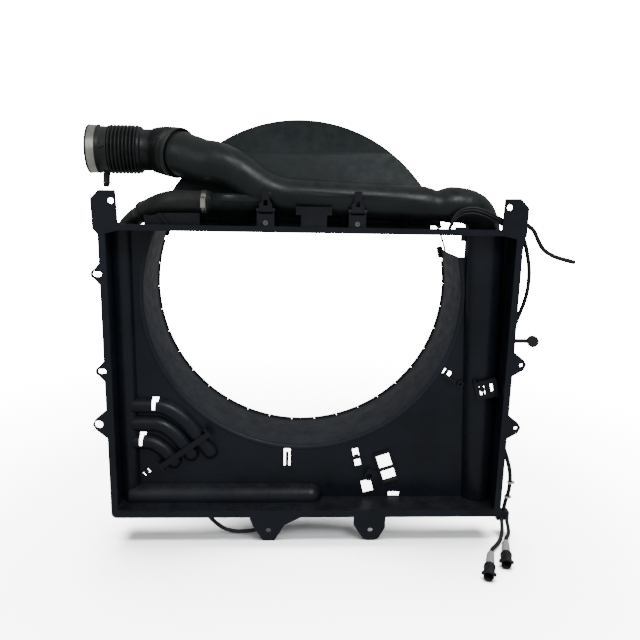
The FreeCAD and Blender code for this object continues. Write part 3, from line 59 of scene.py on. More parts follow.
# ---- camera -------------------------------------------------------------------
CAMERA_PLACE = (-0.0301, -1.0505, 0.2273)
CAMERA_YAW, CAMERA_DIP, CAMERA_ROLL = -2.93, 13.43, 1.24      # degrees
SENSOR_WIDTH = 36.0
LENS = 720.2 / 640 * 36


def add_camera():
    data = bpy.data.cameras.new("camera")
    data.sensor_width = SENSOR_WIDTH
    data.lens = LENS
    camera = bpy.data.objects.new("camera", data)
    bpy.context.scene.collection.objects.link(camera)
    turn = Matrix.Rotation(math.radians(CAMERA_YAW), 4, "Z")
    tilt = Matrix.Rotation(math.radians(90 - CAMERA_DIP), 4, "X")
    roll = Matrix.Rotation(math.radians(CAMERA_ROLL), 4, "Z")
    camera.matrix_world = Matrix.Translation(CAMERA_PLACE) @ turn @ tilt @ roll
    bpy.context.scene.camera = camera


add_camera()


# ---- materials ----------------------------------------------------------------
class Shader:
    """A small helper to build one node material."""

    def __init__(self, name):
        self.material = bpy.data.materials.new(name)
        self.material.use_nodes = True
        self.tree = self.material.node_tree
        self.tree.nodes.clear()
        self.output = self.add("ShaderNodeOutputMaterial")
        self.surface = self.add("ShaderNodeBsdfPrincipled")
        self.link(self.surface.outputs["BSDF"], self.output.inputs["Surface"])
        self.place = self.add("ShaderNodeTexCoord").outputs["Object"]

    def add(self, kind, **values):
        node = self.tree.nodes.new(kind)
        for key, value in values.items():
            setattr(node, key, value)
        return node

    def link(self, source, target):
        self.tree.links.new(source, target)

    def stretched(self, x, y, z):
        node = self.add("ShaderNodeMapping")
        node.inputs["Scale"].default_value = (x, y, z)
        self.link(self.place, node.inputs["Vector"])
        return node.outputs["Vector"]

    def noise(self, scale, detail=3.0, rough=0.55, vector=None):
        node = self.add("ShaderNodeTexNoise")
        node.inputs["Scale"].default_value = scale
        node.inputs["Detail"].default_value = detail
        node.inputs["Roughness"].default_value = rough
        self.link(vector or self.place, node.inputs["Vector"])
        return node.outputs["Fac"]

    def span(self, value, low, high, out_low=0.0, out_high=1.0):
        node = self.add("ShaderNodeMapRange")
        for key, number in (("From Min", low), ("From Max", high), ("To Min", out_low), ("To Max", out_high)):
            node.inputs[key].default_value = number
        self.link(value, node.inputs["Value"])
        return node.outputs["Result"]

    def math(self, kind, a, b):
        node = self.add("ShaderNodeMath", operation=kind)
        for socket, value in zip(node.inputs, (a, b)):
            if isinstance(value, (int, float)):
                socket.default_value = value
            else:
                self.link(value, socket)
        return node.outputs["Value"]

    def mix(self, share, a, b):
        """A blend of two colours; share, a and b are sockets or constants."""
        node = self.add("ShaderNodeMix", data_type="RGBA")
        for socket, value in ((node.inputs[0], share), (node.inputs[6], a), (node.inputs[7], b)):
            if isinstance(value, (int, float)):
                socket.default_value = value
            elif isinstance(value, tuple):
                socket.default_value = (*value, 1.0)
            else:
                self.link(value, socket)
        return node.outputs[2]

    def upward(self):
        """1 on faces that look up, 0 on the rest."""
        split = self.add("ShaderNodeSeparateXYZ")
        self.link(self.add("ShaderNodeNewGeometry").outputs["Normal"], split.inputs["Vector"])
        return self.span(split.outputs["Z"], 0.35, 0.95)

    def bump(self, height, strength, distance):
        node = self.add("ShaderNodeBump")
        node.inputs["Strength"].default_value = strength
        node.inputs["Distance"].default_value = distance
        self.link(height, node.inputs["Height"])
        previous = self.surface.inputs["Normal"].links
        if previous:
            self.link(previous[0].from_socket, node.inputs["Normal"])
        self.link(node.outputs["Normal"], self.surface.inputs["Normal"])

    def colour(self, value):
        self.set("Base Color", value)

    def set(self, name, value):
        socket = self.surface.inputs[name]
        if isinstance(value, tuple):
            socket.default_value = (*value, 1.0)
        elif isinstance(value, (int, float)):
            socket.default_value = value
        else:
            self.link(value, socket)


def moulded(name, colour, rough, grain=0.5, dust=0.35, dust_colour=(0.19, 0.18, 0.165)):
    """Moulded black plastic: fine grain, blotches, scuffs and dust on what faces up."""
    s = Shader(name)
    blotch = s.span(s.noise(9.0, 5.0), 0.35, 0.7)
    darker = tuple(c * 0.72 for c in colour)
    lighter = tuple(c * 1.3 + 0.004 for c in colour)
    base = s.mix(blotch, darker, lighter)
    film = s.math("MULTIPLY", s.upward(), s.span(s.noise(38.0, 6.0, 0.7), 0.3, 0.75))
    base = s.mix(s.math("MULTIPLY", film, dust), base, dust_colour)
    scuff = s.span(s.noise(46.0, 4.0, 0.65, s.stretched(1.0, 1.0, 5.0)), 0.66, 0.78, 0.0, 0.3)
    base = s.mix(scuff, base, tuple(c * 2.4 + 0.01 for c in colour))
    s.colour(base)
    s.set("Roughness", s.span(s.noise(70.0, 4.0), 0.3, 0.75, rough - 0.1, rough + 0.12))
    s.set("Specular IOR Level", 0.42)
    s.bump(s.noise(1500.0, 2.0), grain, 0.00012)
    s.bump(s.noise(24.0, 3.0), 0.18, 0.0016)
    return s.material


def rubbery(name, colour, rough, dust=0.3):
    """Matt rubber with a chalky bloom."""
    s = Shader(name)
    bloom = s.span(s.noise(26.0, 6.0, 0.7), 0.42, 0.72)
    base = s.mix(bloom, colour, tuple(c * 1.6 + 0.008 for c in colour))
    base = s.mix(s.math("MULTIPLY", s.upward(), dust), base, (0.17, 0.165, 0.15))
    s.colour(base)
    s.set("Roughness", s.span(s.noise(120.0, 3.0), 0.3, 0.7, rough - 0.08, rough + 0.1))
    s.set("Specular IOR Level", 0.4)
    s.bump(s.noise(900.0, 3.0), 0.3, 0.00015)
    return s.material


def metal(name, colour, rough, grain=(1.0, 40.0, 40.0)):
    """Clamp steel, brushed along the band and slightly stained."""
    s = Shader(name)
    stain = s.span(s.noise(60.0, 5.0), 0.4, 0.8)
    s.colour(s.mix(stain, colour, tuple(c * 0.62 for c in colour)))
    s.set("Metallic", 0.9)
    brushing = s.noise(200.0, 3.0, 0.5, s.stretched(*grain))
    s.set("Roughness", s.span(brushing, 0.3, 0.7, rough - 0.08, rough + 0.14))
    s.bump(s.noise(160.0, 3.0, 0.5, s.stretched(*grain)), 0.15, 0.0002)
    return s.material


def pale(name, colour, rough):
    """White moulded seal, a little yellowed in random patches."""
    s = Shader(name)
    yellow = s.span(s.noise(90.0, 4.0), 0.45, 0.8, 0.0, 0.6)
    s.colour(s.mix(yellow, colour, (colour[0] * 0.93, colour[1] * 0.88, colour[2] * 0.74)))
    s.set("Roughness", rough)
    s.set("Subsurface Weight", 0.08)
    s.bump(s.noise(700.0, 2.0), 0.15, 0.0001)
    return s.material


MATERIALS = {
    "pan_plastic": moulded("pan_plastic", (0.008, 0.011, 0.019), 0.36, 0.4, 0.2),
    "ring_plastic": moulded("ring_plastic", (0.0105, 0.015, 0.026), 0.44, 0.3, 0.15),
    "cowl_plastic": moulded("cowl_plastic", (0.0095, 0.0185, 0.0205), 0.48, 0.5, 0.25),
    "duct_plastic": moulded("duct_plastic", (0.0135, 0.0185, 0.019), 0.36, 0.35, 0.25),
    "clip_plastic": moulded("clip_plastic", (0.0095, 0.011, 0.018), 0.42, 0.3, 0.25),
    "black_rubber": rubbery("black_rubber", (0.017, 0.0185, 0.0185), 0.36, 0.22),
    "conduit_plastic": rubbery("conduit_plastic", (0.013, 0.0135, 0.017), 0.42, 0.2),
    "clamp_steel": metal("clamp_steel", (0.74, 0.71, 0.64), 0.27),
    "screw_steel": metal("screw_steel", (0.3, 0.3, 0.29), 0.38, (30.0, 30.0, 30.0)),
    "seal_white": pale("seal_white", (0.86, 0.85, 0.81), 0.42),
}


def finish_cad(node, slot):
    """A CAD node keeps its shape; it gets its material and smooth curved faces."""
    obj = nodes[node]
    obj.data.materials.clear()
    obj.data.materials.append(MATERIALS[slot])
    for polygon in obj.data.polygons:
        polygon.use_smooth = True
        polygon.material_index = 0
    obj.data.set_sharp_from_angle(angle=math.radians(28))


for part in frame["record"]["subparts"]:
    finish_cad(part["node"], part["material_slot"])


# ---- mesh helpers -------------------------------------------------------------
def put_in_scene(name, mesh, slot, body, sharp=40):
    obj = bpy.data.objects.new(name, mesh)
    bpy.context.scene.collection.objects.link(obj)
    mesh.materials.append(MATERIALS[slot])
    for polygon in mesh.polygons:
        polygon.use_smooth = True
    mesh.set_sharp_from_angle(angle=math.radians(sharp))
    if body:
        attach(obj, body)
    return obj


def finish_mesh(name, bm, slot, body, sharp=40):
    bmesh.ops.recalc_face_normals(bm, faces=bm.faces)
    mesh = bpy.data.meshes.new(name)
    bm.to_mesh(mesh)
    bm.free()
    return put_in_scene(name, mesh, slot, body, sharp)


def softened(node, slot, body, sharp):
    """A merged copy of a CAD node with smooth shading."""
    bm = bmesh.new()
    bm.from_mesh(nodes[node].data)
    bmesh.ops.remove_doubles(bm, verts=bm.verts, dist=2e-6)
    bmesh.ops.dissolve_degenerate(bm, edges=bm.edges, dist=1e-6)
    mesh = bpy.data.meshes.new(node + "_finish")
    bm.to_mesh(mesh)
    bm.free()
    piece = put_in_scene(node + "_finish", mesh, slot, body, sharp)
    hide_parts(node)


def lathe(name, profile, centre, axis, slot, body, steps=72, sharp=40):
    """A turned piece: profile is (distance along the axis, radius), closed on itself."""
    axis = Vector(axis).normalized()
    side = axis.orthogonal().normalized()
    origin = Vector(centre) * MM
    bm = bmesh.new()
    verts = [bm.verts.new(origin + axis * (along * MM) + side * (radius * MM)) for along, radius in profile]
    edges = [bm.edges.new((a, b)) for a, b in zip(verts, verts[1:] + verts[:1])]
    bmesh.ops.spin(bm, geom=verts + edges, cent=origin, axis=axis, angle=2 * math.pi, steps=steps,
                   use_merge=True)
    bmesh.ops.remove_doubles(bm, verts=bm.verts, dist=1e-7)
    return finish_mesh(name, bm, slot, body, sharp)


def ring_matrix(point, ahead, side, radius):
    ahead = ahead.normalized()
    side = (side - ahead * side.dot(ahead)).normalized()
    turn = Matrix((side, ahead.cross(side), ahead)).transposed().to_4x4()
    return Matrix.Translation(point) @ turn @ Matrix.Scale(radius, 4), side


def skin(name, stations, slot, body, segments=48, sharp=40, closed=False):
    """Rings drawn along stations of (point, direction, radius); closed joins the last to the first."""
    bm = bmesh.new()
    point, ahead, radius = stations[0]
    matrix, side = ring_matrix(point, ahead, ahead.orthogonal(), radius)
    first = bmesh.ops.create_circle(bm, segments=segments, radius=1.0, matrix=matrix)["verts"]
    edges = list({edge for vert in first for edge in vert.link_edges})
    start = list(edges)
    for point, ahead, radius in stations[1:]:
        grown = bmesh.ops.extrude_edge_only(bm, edges=edges)["geom"]
        verts = [g for g in grown if isinstance(g, bmesh.types.BMVert)]
        edges = [g for g in grown if isinstance(g, bmesh.types.BMEdge)]
        following, side = ring_matrix(point, ahead, side, radius)
        bmesh.ops.transform(bm, matrix=following @ matrix.inverted(), verts=verts)
        matrix = following
    if closed:
        bmesh.ops.bridge_loops(bm, edges=start + edges)
    else:
        bmesh.ops.holes_fill(bm, edges=[e for e in bm.edges if e.is_boundary], sides=0)
    return finish_mesh(name, bm, slot, body, sharp)


def smooth_line(points):
    """The line of a NURBS spline through a route in millimetres, as points in metres."""
    data = bpy.data.curves.new("route", "CURVE")
    data.dimensions = "3D"
    data.resolution_u = 24
    spline = data.splines.new("NURBS")
    spline.points.add(len(points) - 1)
    for control, point in zip(spline.points, points):
        control.co = (point[0] * MM, point[1] * MM, point[2] * MM, 1.0)
    spline.order_u = 3
    spline.use_endpoint_u = True
    holder = bpy.data.objects.new("route", data)
    bpy.context.scene.collection.objects.link(holder)
    bpy.context.view_layer.update()
    mesh = bpy.data.meshes.new_from_object(holder)
    line = [v.co.copy() for v in mesh.vertices]
    bpy.data.objects.remove(holder)
    bpy.data.meshes.remove(mesh)
    return line


def even(line, step):
    """Points along a line at an even step, and its length."""
    lengths = [0.0]
    for a, b in zip(line, line[1:]):
        lengths.append(lengths[-1] + (b - a).length)
    count = max(2, round(lengths[-1] / step))
    result = []
    k = 0
    for i in range(count + 1):
        target = lengths[-1] * i / count
        while k < len(lengths) - 2 and lengths[k + 1] < target:
            k += 1
        share = (target - lengths[k]) / max(1e-9, lengths[k + 1] - lengths[k])
        result.append(line[k].lerp(line[k + 1], min(1.0, share)))
    return result, lengths[-1]


def directions(line):
    return [line[min(i + 1, len(line) - 1)] - line[max(i - 1, 0)] for i in range(len(line))]


def hose(name, points, radius, slot, body, step=3.0, rib=None, segments=24):
    """A tube along a route's spline; rib is (pitch, depth) of a corrugated conduit, in millimetres."""
    line, length = even(smooth_line(points), (rib[0] / 4 if rib else step) * MM)
    radii = [radius * MM] * len(line)
    if rib:
        radii = [(radius if i % 4 in (0, 1) else radius - rib[1]) * MM for i in range(len(line))]
    stations = list(zip(line, directions(line), radii))
    return skin(name, stations, slot, body, segments), line, length


def join(name, pieces):
    """One mesh from several pieces."""
    bm = bmesh.new()
    for piece in pieces:
        bm.from_mesh(piece.data)
    mesh = pieces[0].data
    bm.to_mesh(mesh)
    bm.free()
    pieces[0].name = mesh.name = name
    mesh.set_sharp_from_angle(angle=math.radians(60))
    for piece in pieces[1:]:
        bpy.data.objects.remove(piece)
    return pieces[0]


# ---- free leads ---------------------------------------------------------------
LEAD_R = 3.2
FLOOR = FLOOR_Z / MM
BARREL_R = 8.0
PLUG_Z = FLOOR + BARREL_R + 1.4
COLLAR_LENGTH = 30.0
BARREL_LENGTH = 36.0
CABLE_SEAT = 6.0
LEAD_A = ((334.6, 26.0, -364.5), (333.2, 11.0, -376.0), (327.0, -6.0, -385.0), (314.0, -26.0, -385.5),
          (298.4, -46.5, PLUG_Z), (293.2, -62.5, PLUG_Z))
LEAD_B = ((342.0, 26.0, -364.5), (343.8, 13.5, -375.5), (341.2, 1.0, -383.5), (331.2, -13.0, PLUG_Z),
          (326.6, -30.0, PLUG_Z))


def plug_axis(route):
    end = Vector(route[-1])
    direction = end - Vector(route[-2])
    direction.z = 0.0
    return end, direction.normalized()


SEAL_LENGTH = COLLAR_LENGTH + 9.0
SHELL_START = COLLAR_LENGTH - CABLE_SEAT + 8.0
SHELL_LENGTH = COLLAR_LENGTH - CABLE_SEAT + BARREL_LENGTH - SHELL_START


def seal_profile():
    """White seal: a waist with soft ribs, growing towards the plug."""
    outside = []
    for i in range(61):
        along = SEAL_LENGTH * i / 60
        base = 4.7 + 1.6 * along / SEAL_LENGTH
        crest = max(0.0, math.cos(2 * math.pi * (along - 4.7) / 7.2)) ** 0.6 if along < 34 else 0.0
        outside.append((along, base + 0.95 * crest))
    bore = LEAD_R + 0.25
    return outside + [(SEAL_LENGTH, 2.0), (CABLE_SEAT + 1, 2.0), (CABLE_SEAT + 1, bore), (0, bore)]


LUG_SIZE = (0.0042, 0.0052, 0.004)
LUG_OUT = 8.9
LUG_FROM_TIP = 8.0
CATCH_SIZE = (0.0055, 0.011, 0.0022)
CATCH_ALONG = 9.5
CATCH_UP = 8.0
LEAD_RIBS = (2.2, 0.45)         # pitch and depth


def shell_profile():
    """Plug body: flared foot, waist, a collar behind the lugs and an open, rounded face."""
    tip = SHELL_LENGTH
    return [(0, 5.0), (0, 8.3), (0.7, 9.0), (3.6, 9.1), (4.4, 8.4), (6, 7.7), (13, 7.8), (14, 8.6), (17, 8.6),
            (18, 8.0), (tip - 1.2, 8.0), (tip - 0.3, 7.7), (tip, 7.1), (tip, 6.4), (tip - 0.6, 6.1),
            (5.5, 6.0), (5.5, 2.2), (1, 2.2), (1, 5.0)]


def bar(place, size, edge, slot):
    """A small block with rounded edges; size in metres along the matrix's own axes."""
    bm = bmesh.new()
    bmesh.ops.create_cube(bm, size=1.0, matrix=place @ Matrix.Diagonal((*size, 1.0)))
    bmesh.ops.bevel(bm, geom=bm.edges, offset=edge, affect="EDGES", segments=3, profile=0.5, material=-1)
    return finish_mesh("bar", bm, slot, None)


def dress_plug(tag, route):
    end, d = plug_axis(route)
    up = Vector((0, 0, 1))
    seal = lathe(f"plug_seal_{tag}", seal_profile(), end - d * CABLE_SEAT, d, "seal_white", "shroud", 48, 60)
    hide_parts(f"plug_collar_{tag}")
    shell = lathe(f"plug_shell_{tag}", shell_profile(), end + d * SHELL_START, d,
                  "clip_plastic", None, 48, 45)
    turn = Matrix((d.cross(up), d, up)).transposed().to_4x4()
    lug_place = Matrix.Translation((end + d * (SHELL_START + SHELL_LENGTH - LUG_FROM_TIP)) * MM) @ turn
    pieces = [shell]
    for side in (-1, 1):
        shift = Matrix.Translation((side * LUG_OUT * MM, 0, 0))
        pieces.append(bar(lug_place @ shift, LUG_SIZE, 0.0008, "clip_plastic"))
    catch = (end + d * (SHELL_START + CATCH_ALONG)) * MM + Vector((0, 0, CATCH_UP * MM))
    pieces.append(bar(Matrix.Translation(catch) @ turn, CATCH_SIZE, 0.0006, "clip_plastic"))
    shell = join(f"plug_shell_{tag}", pieces)
    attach(shell, "shroud")
    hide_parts(f"plug_barrel_{tag}")
    return [seal, shell, nodes[f"plug_insert_{tag}"]]


for tag, route in (("a", LEAD_A), ("b", LEAD_B)):
    lead, line, length = hose(f"lead_{tag}_conduit", route, LEAD_R, "conduit_plastic", "shroud",
                              rib=LEAD_RIBS)
    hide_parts(f"lead_{tag}")
    dress_plug(tag, route)


# ---- conduits, hoses and wires that are held all the way ------------------------
SIDE_ROUTE = ((317, 13, 117), (329.5, 20, 103.5), (341, 30, 77), (347.5, 30, 45), (345.5, 30, 8),
              (334, 30, -26), (324.4, 30, -56), (324.4, 30, -100), (324.8, 30, -150), (324.4, 30, -200),
              (325.4, 30, -232), (336.5, 30, -258), (345.5, 30, -289), (345.5, 30, -319),
              (339.5, 30, -341), (338.5, 30, -357))
BOTTOM_ROUTE = ((-206, 22, -349.4), (-176, 22, -349), (-152, 22, -354), (-139, 22, -371), (-118, 22, -385.5),
                (-90, 22, -387.2), (-60, 22, -381), (-32, 22, -363), (-4, 22, -350), (36, 22, -349.4),
                (86, 22, -349), (136, 22, -349.4), (186, 22, -349), (236, 22, -349.4), (276, 23, -350.4),
                (306, 27, -354), (329.5, 30, -362))
HARNESS_R = 3.4
HOSE_ROUTE = ((-141, 24, 147), (-172, 24, 147), (-208, 26, 147), (-240, 52, 129))
HOSE_R = 16.0
WIRE_R = 1.7
WIRE_OFFSETS = ((0, 0), (-3.2, 1.0), (-1.2, -3.6), (-4.0, 4.6))
HARNESS_RIBS = (2.4, 0.4)       # pitch and depth


def elbow_wire(dy, dz):
    return ((212, 7.5 + dy, 113 + dz), (216, 6.5 + dy, 128 + dz), (226, 6 + dy, 139 + dz),
            (243, 6 + dy, 143.5 + dz), (262, 6.5 + dy, 139.5 + dz), (281, 8 + dy, 131 + dz),
            (296, 9.5 + dy, 123 + dz), (307.2, 13 + dy, 117.5 + dz))


def dress_wiring():
    for name, route in (("side_conduit", SIDE_ROUTE), ("bottom_conduit", BOTTOM_ROUTE)):
        conduit = hose(name + "_ribbed", route, HARNESS_R, "conduit_plastic", "shroud",
                       rib=HARNESS_RIBS, segments=16)[0]
        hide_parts(name)
    strands = []
    for i, offset in enumerate(WIRE_OFFSETS):
        strands.append(hose(f"elbow_wire_{i}", elbow_wire(*offset), WIRE_R, "conduit_plastic", None,
                            step=4.0, segments=10)[0])
    wires = join("elbow_wire_bundle", strands)
    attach(wires, "shroud")
    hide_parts("elbow_wires")


dress_wiring()


# ---- inlet --------------------------------------------------------------------
INLET_Y = 65.0
INLET_Z = 219.0
INLET_END = -321.5
BELLOWS_LEFT = -290.5
BELLOWS_RIGHT = -247.5
NECK_END = -228.0
NECK_R = 30.3
CUFF_R = 34.0
CUFF_BORE_R = 31.0
BEAD_R = CUFF_R + 1.8
BAND_LEFT = INLET_END + 3
BAND_RIGHT = BAND_LEFT + 11
MOUTH_R = 32.4
NECK_BELLOWS_LENGTH = 34.0
BELLOWS_RIBS = 8
VALLEY_R, CREST_R = 31.9, 35.9
STUB_FROM_BELLOWS = 7
TAG_SIZE = (0.007, 0.0026, 0.004)
NECK_RIBS = 8
NECK_RIB_DEPTH = 2.5
MOUTH_LAP = 3.8
MOUTH_DOWN = 8.0
MOUTH_FORWARD = 36.0


def rib_wave(share, count, low, high, fullness=0.55):
    """Radius along a bellows: round crests, tighter valleys."""
    wave = 0.5 - 0.5 * math.cos(2 * math.pi * share * count)
    return low + (high - low) * wave ** fullness


def dress_bellows():
    length = BELLOWS_RIGHT - BELLOWS_LEFT
    outside = [(length * i / 128, rib_wave(i / 128, BELLOWS_RIBS, VALLEY_R, CREST_R)) for i in range(129)]
    inside = [(length * (1 - i / 64), rib_wave(1 - i / 64, BELLOWS_RIBS, 30.4, 31.6)) for i in range(65)]
    piece = lathe("inlet_bellows_ribbed", outside + inside, (BELLOWS_LEFT, INLET_Y, INLET_Z), (1, 0, 0),
                  "black_rubber", None, 96, 60)
    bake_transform(piece)
    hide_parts("inlet_bellows")


def dress_cuff():
    """Cuff with a round bead each side of the clamp, a drain stub and a small tag."""
    end = BELLOWS_LEFT - INLET_END
    seat_left, seat_right = BAND_LEFT - INLET_END, BAND_RIGHT - INLET_END
    profile = [(0, CUFF_BORE_R), (0, BEAD_R - 0.9), (0.5, BEAD_R - 0.2), (1.2, BEAD_R), (2.2, BEAD_R - 0.1),
               (seat_left, BEAD_R - 0.9), (seat_left, CUFF_R), (seat_right, CUFF_R),
               (seat_right, BEAD_R - 0.8),
               (seat_right + 0.7, BEAD_R), (seat_right + 1.8, BEAD_R - 0.2), (seat_right + 3, BEAD_R - 1.5),
               (seat_right + 4.5, CUFF_R - 0.4), (end - 6, CUFF_R - 0.8), (end - 2, CUFF_R - 0.3),
               (end - 0.6, CUFF_R + 0.6), (end, CUFF_R + 0.4), (end, CUFF_BORE_R)]
    piece = lathe("inlet_cuff_body", profile, (INLET_END, INLET_Y, INLET_Z), (1, 0, 0),
                  "black_rubber", None, 96, 50)
    x = BELLOWS_LEFT - STUB_FROM_BELLOWS
    lean = Vector((-0.08, 0, -1)).normalized()
    stub_profile = [(-1, 3.2), (-1, 6.4), (1, 6.0), (3.5, 5.3), (15, 5.1), (16, 5.5), (17.5, 5.5), (19, 4.6),
                    (23, 4.2), (23.4, 3.8), (23.4, 3.2)]
    stub = lathe("stub", stub_profile, (x, INLET_Y, INLET_Z - CUFF_BORE_R - 1), lean,
                 "black_rubber", None, 32, 50)
    place = Matrix.Translation((x * MM, (INLET_Y - CUFF_R + 0.2) * MM, (INLET_Z + 4) * MM))
    cuff = join("inlet_cuff_body", [piece, stub, bar(place, TAG_SIZE, 0.0006, "black_rubber")])
    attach(cuff, "inlet_end")
    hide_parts("inlet_cuff")


def turned(down, forward):
    a = math.radians(down)
    b = math.radians(forward)
    return Vector((math.cos(a) * math.cos(b), -math.sin(b), -math.sin(a) * math.cos(b)))


def neck_station(share):
    """Centre and direction part of the way along the neck bellows, in metres."""
    centre = Vector((NECK_END, INLET_Y, INLET_Z))
    steps = 20
    for i in range(steps):
        mid = (i + 0.5) / steps * share
        centre += turned(MOUTH_DOWN * mid, MOUTH_FORWARD * mid) * (NECK_BELLOWS_LENGTH * share / steps)
    return centre * MM, turned(MOUTH_DOWN * share, MOUTH_FORWARD * share)


def dress_neck_bellows():
    """Fine ribs fanned round the bend, growing from the neck to the mouth cuff."""
    end_r = MOUTH_R + MOUTH_LAP
    steps = NECK_RIBS * 12

    def outer(share):
        base = NECK_R + (end_r - NECK_R) * share ** 0.45 - 2.0
        return base + NECK_RIB_DEPTH * (0.5 - 0.5 * math.cos(2 * math.pi * share * NECK_RIBS)) ** 0.6

    stations = []
    for i in range(steps + 1):
        share = 0.004 + 0.992 * i / steps
        centre, ahead = neck_station(share)
        stations.append((centre, ahead, outer(share) * MM))
    for i in range(21):
        share = 0.996 - 0.992 * i / 20
        centre, ahead = neck_station(share)
        stations.append((centre, ahead, (NECK_R + (end_r - NECK_R) * share ** 0.45 - 3.6) * MM))
    piece = skin("neck_bellows_ribbed", stations, "black_rubber", None, 80, 60, closed=True)
    start = neck_station(1)[0]
    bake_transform(piece)
    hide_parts("neck_bellows")


def dress_mouth_cuff():
    """Thick cuff over the duct mouth with a rounded rim, its bore opening towards the duct."""
    centre, ahead = neck_station(1)
    outside = MOUTH_R + 4.4
    profile = [(0, MOUTH_R - 4)]
    for i in range(31):
        wave = 0.5 + 0.5 * math.cos(2 * math.pi * i / 10)
        profile.append((7.8 * i / 30, outside - 1.9 + 1.7 * wave ** 0.6))
    profile += [(8.6, outside), (11.5, outside + 0.05), (12.8, outside - 0.3), (13.6, outside - 1.0),
                (14.0, outside - 1.9), (14.0, MOUTH_R + 2.6), (3, MOUTH_R + 0.6), (3, MOUTH_R - 4)]
    piece = lathe("mouth_cuff", profile, centre / MM, ahead, "black_rubber", "shroud", 96, 50)
    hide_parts("duct_cuff")


def dress_vent_hose():
    piece = hose("vent_hose_body", HOSE_ROUTE, HOSE_R, "black_rubber", "shroud", segments=48)[0]
    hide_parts("vent_hose")


dress_bellows()
dress_cuff()
dress_neck_bellows()
dress_mouth_cuff()
dress_vent_hose()

# ---- lips and smooth shells -----------------------------------------------------
LIP_GAP = math.radians(0.75)
LIP_GAP_KEPT = 0.4              # share of the gap that stays open


def islands(bm):
    """The separate pieces of a mesh, each a list of its vertices."""
    seen = set()
    found = []
    for start in bm.verts:
        if start in seen:
            continue
        seen.add(start)
        piece = [start]
        for vert in piece:
            for link in vert.link_edges:
                other = link.other_vert(vert)
                if other not in seen:
                    seen.add(other)
                    piece.append(other)
        found.append(piece)
    return found


def dress_lip(node):
    """Rubber lip whose segments sit closer together, with thin slits between them."""
    bm = bmesh.new()
    bm.from_mesh(nodes[node].data)
    bmesh.ops.remove_doubles(bm, verts=bm.verts, dist=2e-6)
    for piece in islands(bm):
        middle = sum((v.co for v in piece), Vector()) / len(piece)
        zero = math.atan2(middle.z, middle.x)
        turns = {}
        for vert in piece:
            turn = math.atan2(vert.co.z, vert.co.x) - zero
            turns[vert] = (turn + math.pi) % (2 * math.pi) - math.pi
        half = max(abs(turn) for turn in turns.values())
        wider = 1 + LIP_GAP * (1 - LIP_GAP_KEPT) / 2 / half
        for vert, turn in turns.items():
            away = math.hypot(vert.co.x, vert.co.z)
            vert.co.x = away * math.cos(zero + turn * wider)
            vert.co.z = away * math.sin(zero + turn * wider)
    piece = finish_mesh(node + "_segments", bm, "black_rubber", "shroud", 35)
    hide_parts(node)


dress_lip("ring_lip_lower")
dress_lip("ring_lip_upper")

SMOOTHED = ("air_duct", "fan_ring", "upper_cowl", "vent_pipe", "inlet_neck")
SMOOTH_UP_TO = 34               # degrees
for node in SMOOTHED:
    part = next(p for p in frame["record"]["subparts"] if p["node"] == node)
    body = "neck" if node == "inlet_neck" else "shroud"
    softened(node, part["material_slot"], body, SMOOTH_UP_TO)


# ---- light and floor ----------------------------------------------------------
PART_LIGHT = 0.33               # world strength on the part
BACKDROP_LIGHT = 22.0           # world strength behind it
FLOOR_SIZE = 6.0
FLOOR_LIGHT = 27.0
FLOOR_LIGHT_SPREAD = 48         # degrees
FLOOR_FADE = (0.5, 2.2, 0.0, 25.0)      # metres from and to, glow from and to


def area_light(name, place, target, size, power, colour=(1.0, 1.0, 1.0)):
    data = bpy.data.lights.new(name, "AREA")
    data.shape = "RECTANGLE"
    data.size, data.size_y = size
    data.energy = power
    data.color = colour
    light = bpy.data.objects.new(name, data)
    light.location = place
    light.rotation_euler = (Vector(target) - Vector(place)).to_track_quat("-Z", "Y").to_euler()
    bpy.context.scene.collection.objects.link(light)


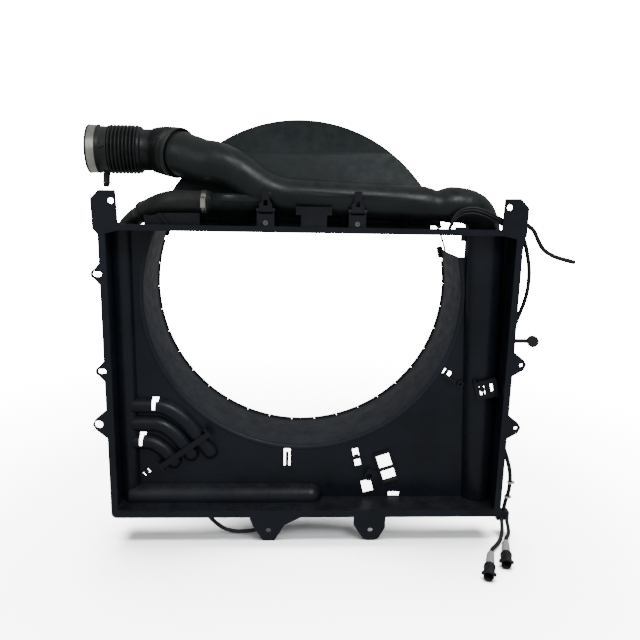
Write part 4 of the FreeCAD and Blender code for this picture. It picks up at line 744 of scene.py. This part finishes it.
def add_world():
    """White for the camera, and a dimmer soft light on the part."""
    world = bpy.data.worlds.new("studio")
    bpy.context.scene.world = world
    world.use_nodes = True
    tree = world.node_tree
    tree.nodes.clear()
    output = tree.nodes.new("ShaderNodeOutputWorld")
    mix = tree.nodes.new("ShaderNodeMixShader")
    path = tree.nodes.new("ShaderNodeLightPath")
    soft = tree.nodes.new("ShaderNodeBackground")
    white = tree.nodes.new("ShaderNodeBackground")
    soft.inputs["Color"].default_value = (0.96, 0.98, 1.0, 1.0)
    soft.inputs["Strength"].default_value = PART_LIGHT
    white.inputs["Strength"].default_value = BACKDROP_LIGHT
    white.inputs["Color"].default_value = (1.0, 1.0, 1.0, 1.0)
    tree.links.new(path.outputs["Is Camera Ray"], mix.inputs["Fac"])
    tree.links.new(soft.outputs["Background"], mix.inputs[1])
    tree.links.new(white.outputs["Background"], mix.inputs[2])
    tree.links.new(mix.outputs["Shader"], output.inputs["Surface"])


def add_floor():
    """Pale floor that the part's surfaces don't see, with a painted glow that grows away from the part and
    fades it to white.
    """
    bm = bmesh.new()
    bmesh.ops.create_grid(bm, x_segments=1, y_segments=1, size=FLOOR_SIZE)
    mesh = bpy.data.meshes.new("floor")
    bm.to_mesh(mesh)
    bm.free()
    floor = bpy.data.objects.new("floor", mesh)
    floor.location = (0, 0, FLOOR_Z)
    bpy.context.scene.collection.objects.link(floor)
    s = Shader("floor_paint")
    s.colour(s.mix(s.span(s.noise(1.5, 2.0), 0.3, 0.7), (0.92, 0.92, 0.92), (0.95, 0.95, 0.95)))
    s.set("Roughness", 0.85)
    length = s.add("ShaderNodeVectorMath", operation="LENGTH")
    s.link(s.place, length.inputs[0])
    # Painted glow: the floor's emission is zero near the part and grows with distance, so the floor turns
    # white far off.
    s.set("Emission Color", (1.0, 1.0, 1.0))
    s.set("Emission Strength", s.span(length.outputs["Value"], *FLOOR_FADE))
    mesh.materials.append(s.material)
    floor.visible_diffuse = False
    floor.visible_glossy = False
    return floor


def add_studio():
    """Two soft lights for the whole set, and one linked to the floor only."""
    add_world()
    floor = add_floor()
    area_light("key", (0.8, -1.3, 1.5), (0, 0, 0.0), (1.1, 0.8), 16, (0.95, 0.97, 1.0))
    area_light("fill", (-1.1, -1.2, 0.9), (0, 0, 0), (1.2, 1.2), 4)
    data = bpy.data.lights.new("floor_wash", "SUN")
    data.energy = FLOOR_LIGHT
    data.angle = math.radians(FLOOR_LIGHT_SPREAD)
    wash = bpy.data.objects.new("floor_wash", data)
    wash.rotation_euler = (math.radians(-12), 0, 0)
    bpy.context.scene.collection.objects.link(wash)
    only_floor = bpy.data.collections.new("floor_only")
    only_floor.objects.link(floor)
    wash.light_linking.receiver_collection = only_floor


add_studio()
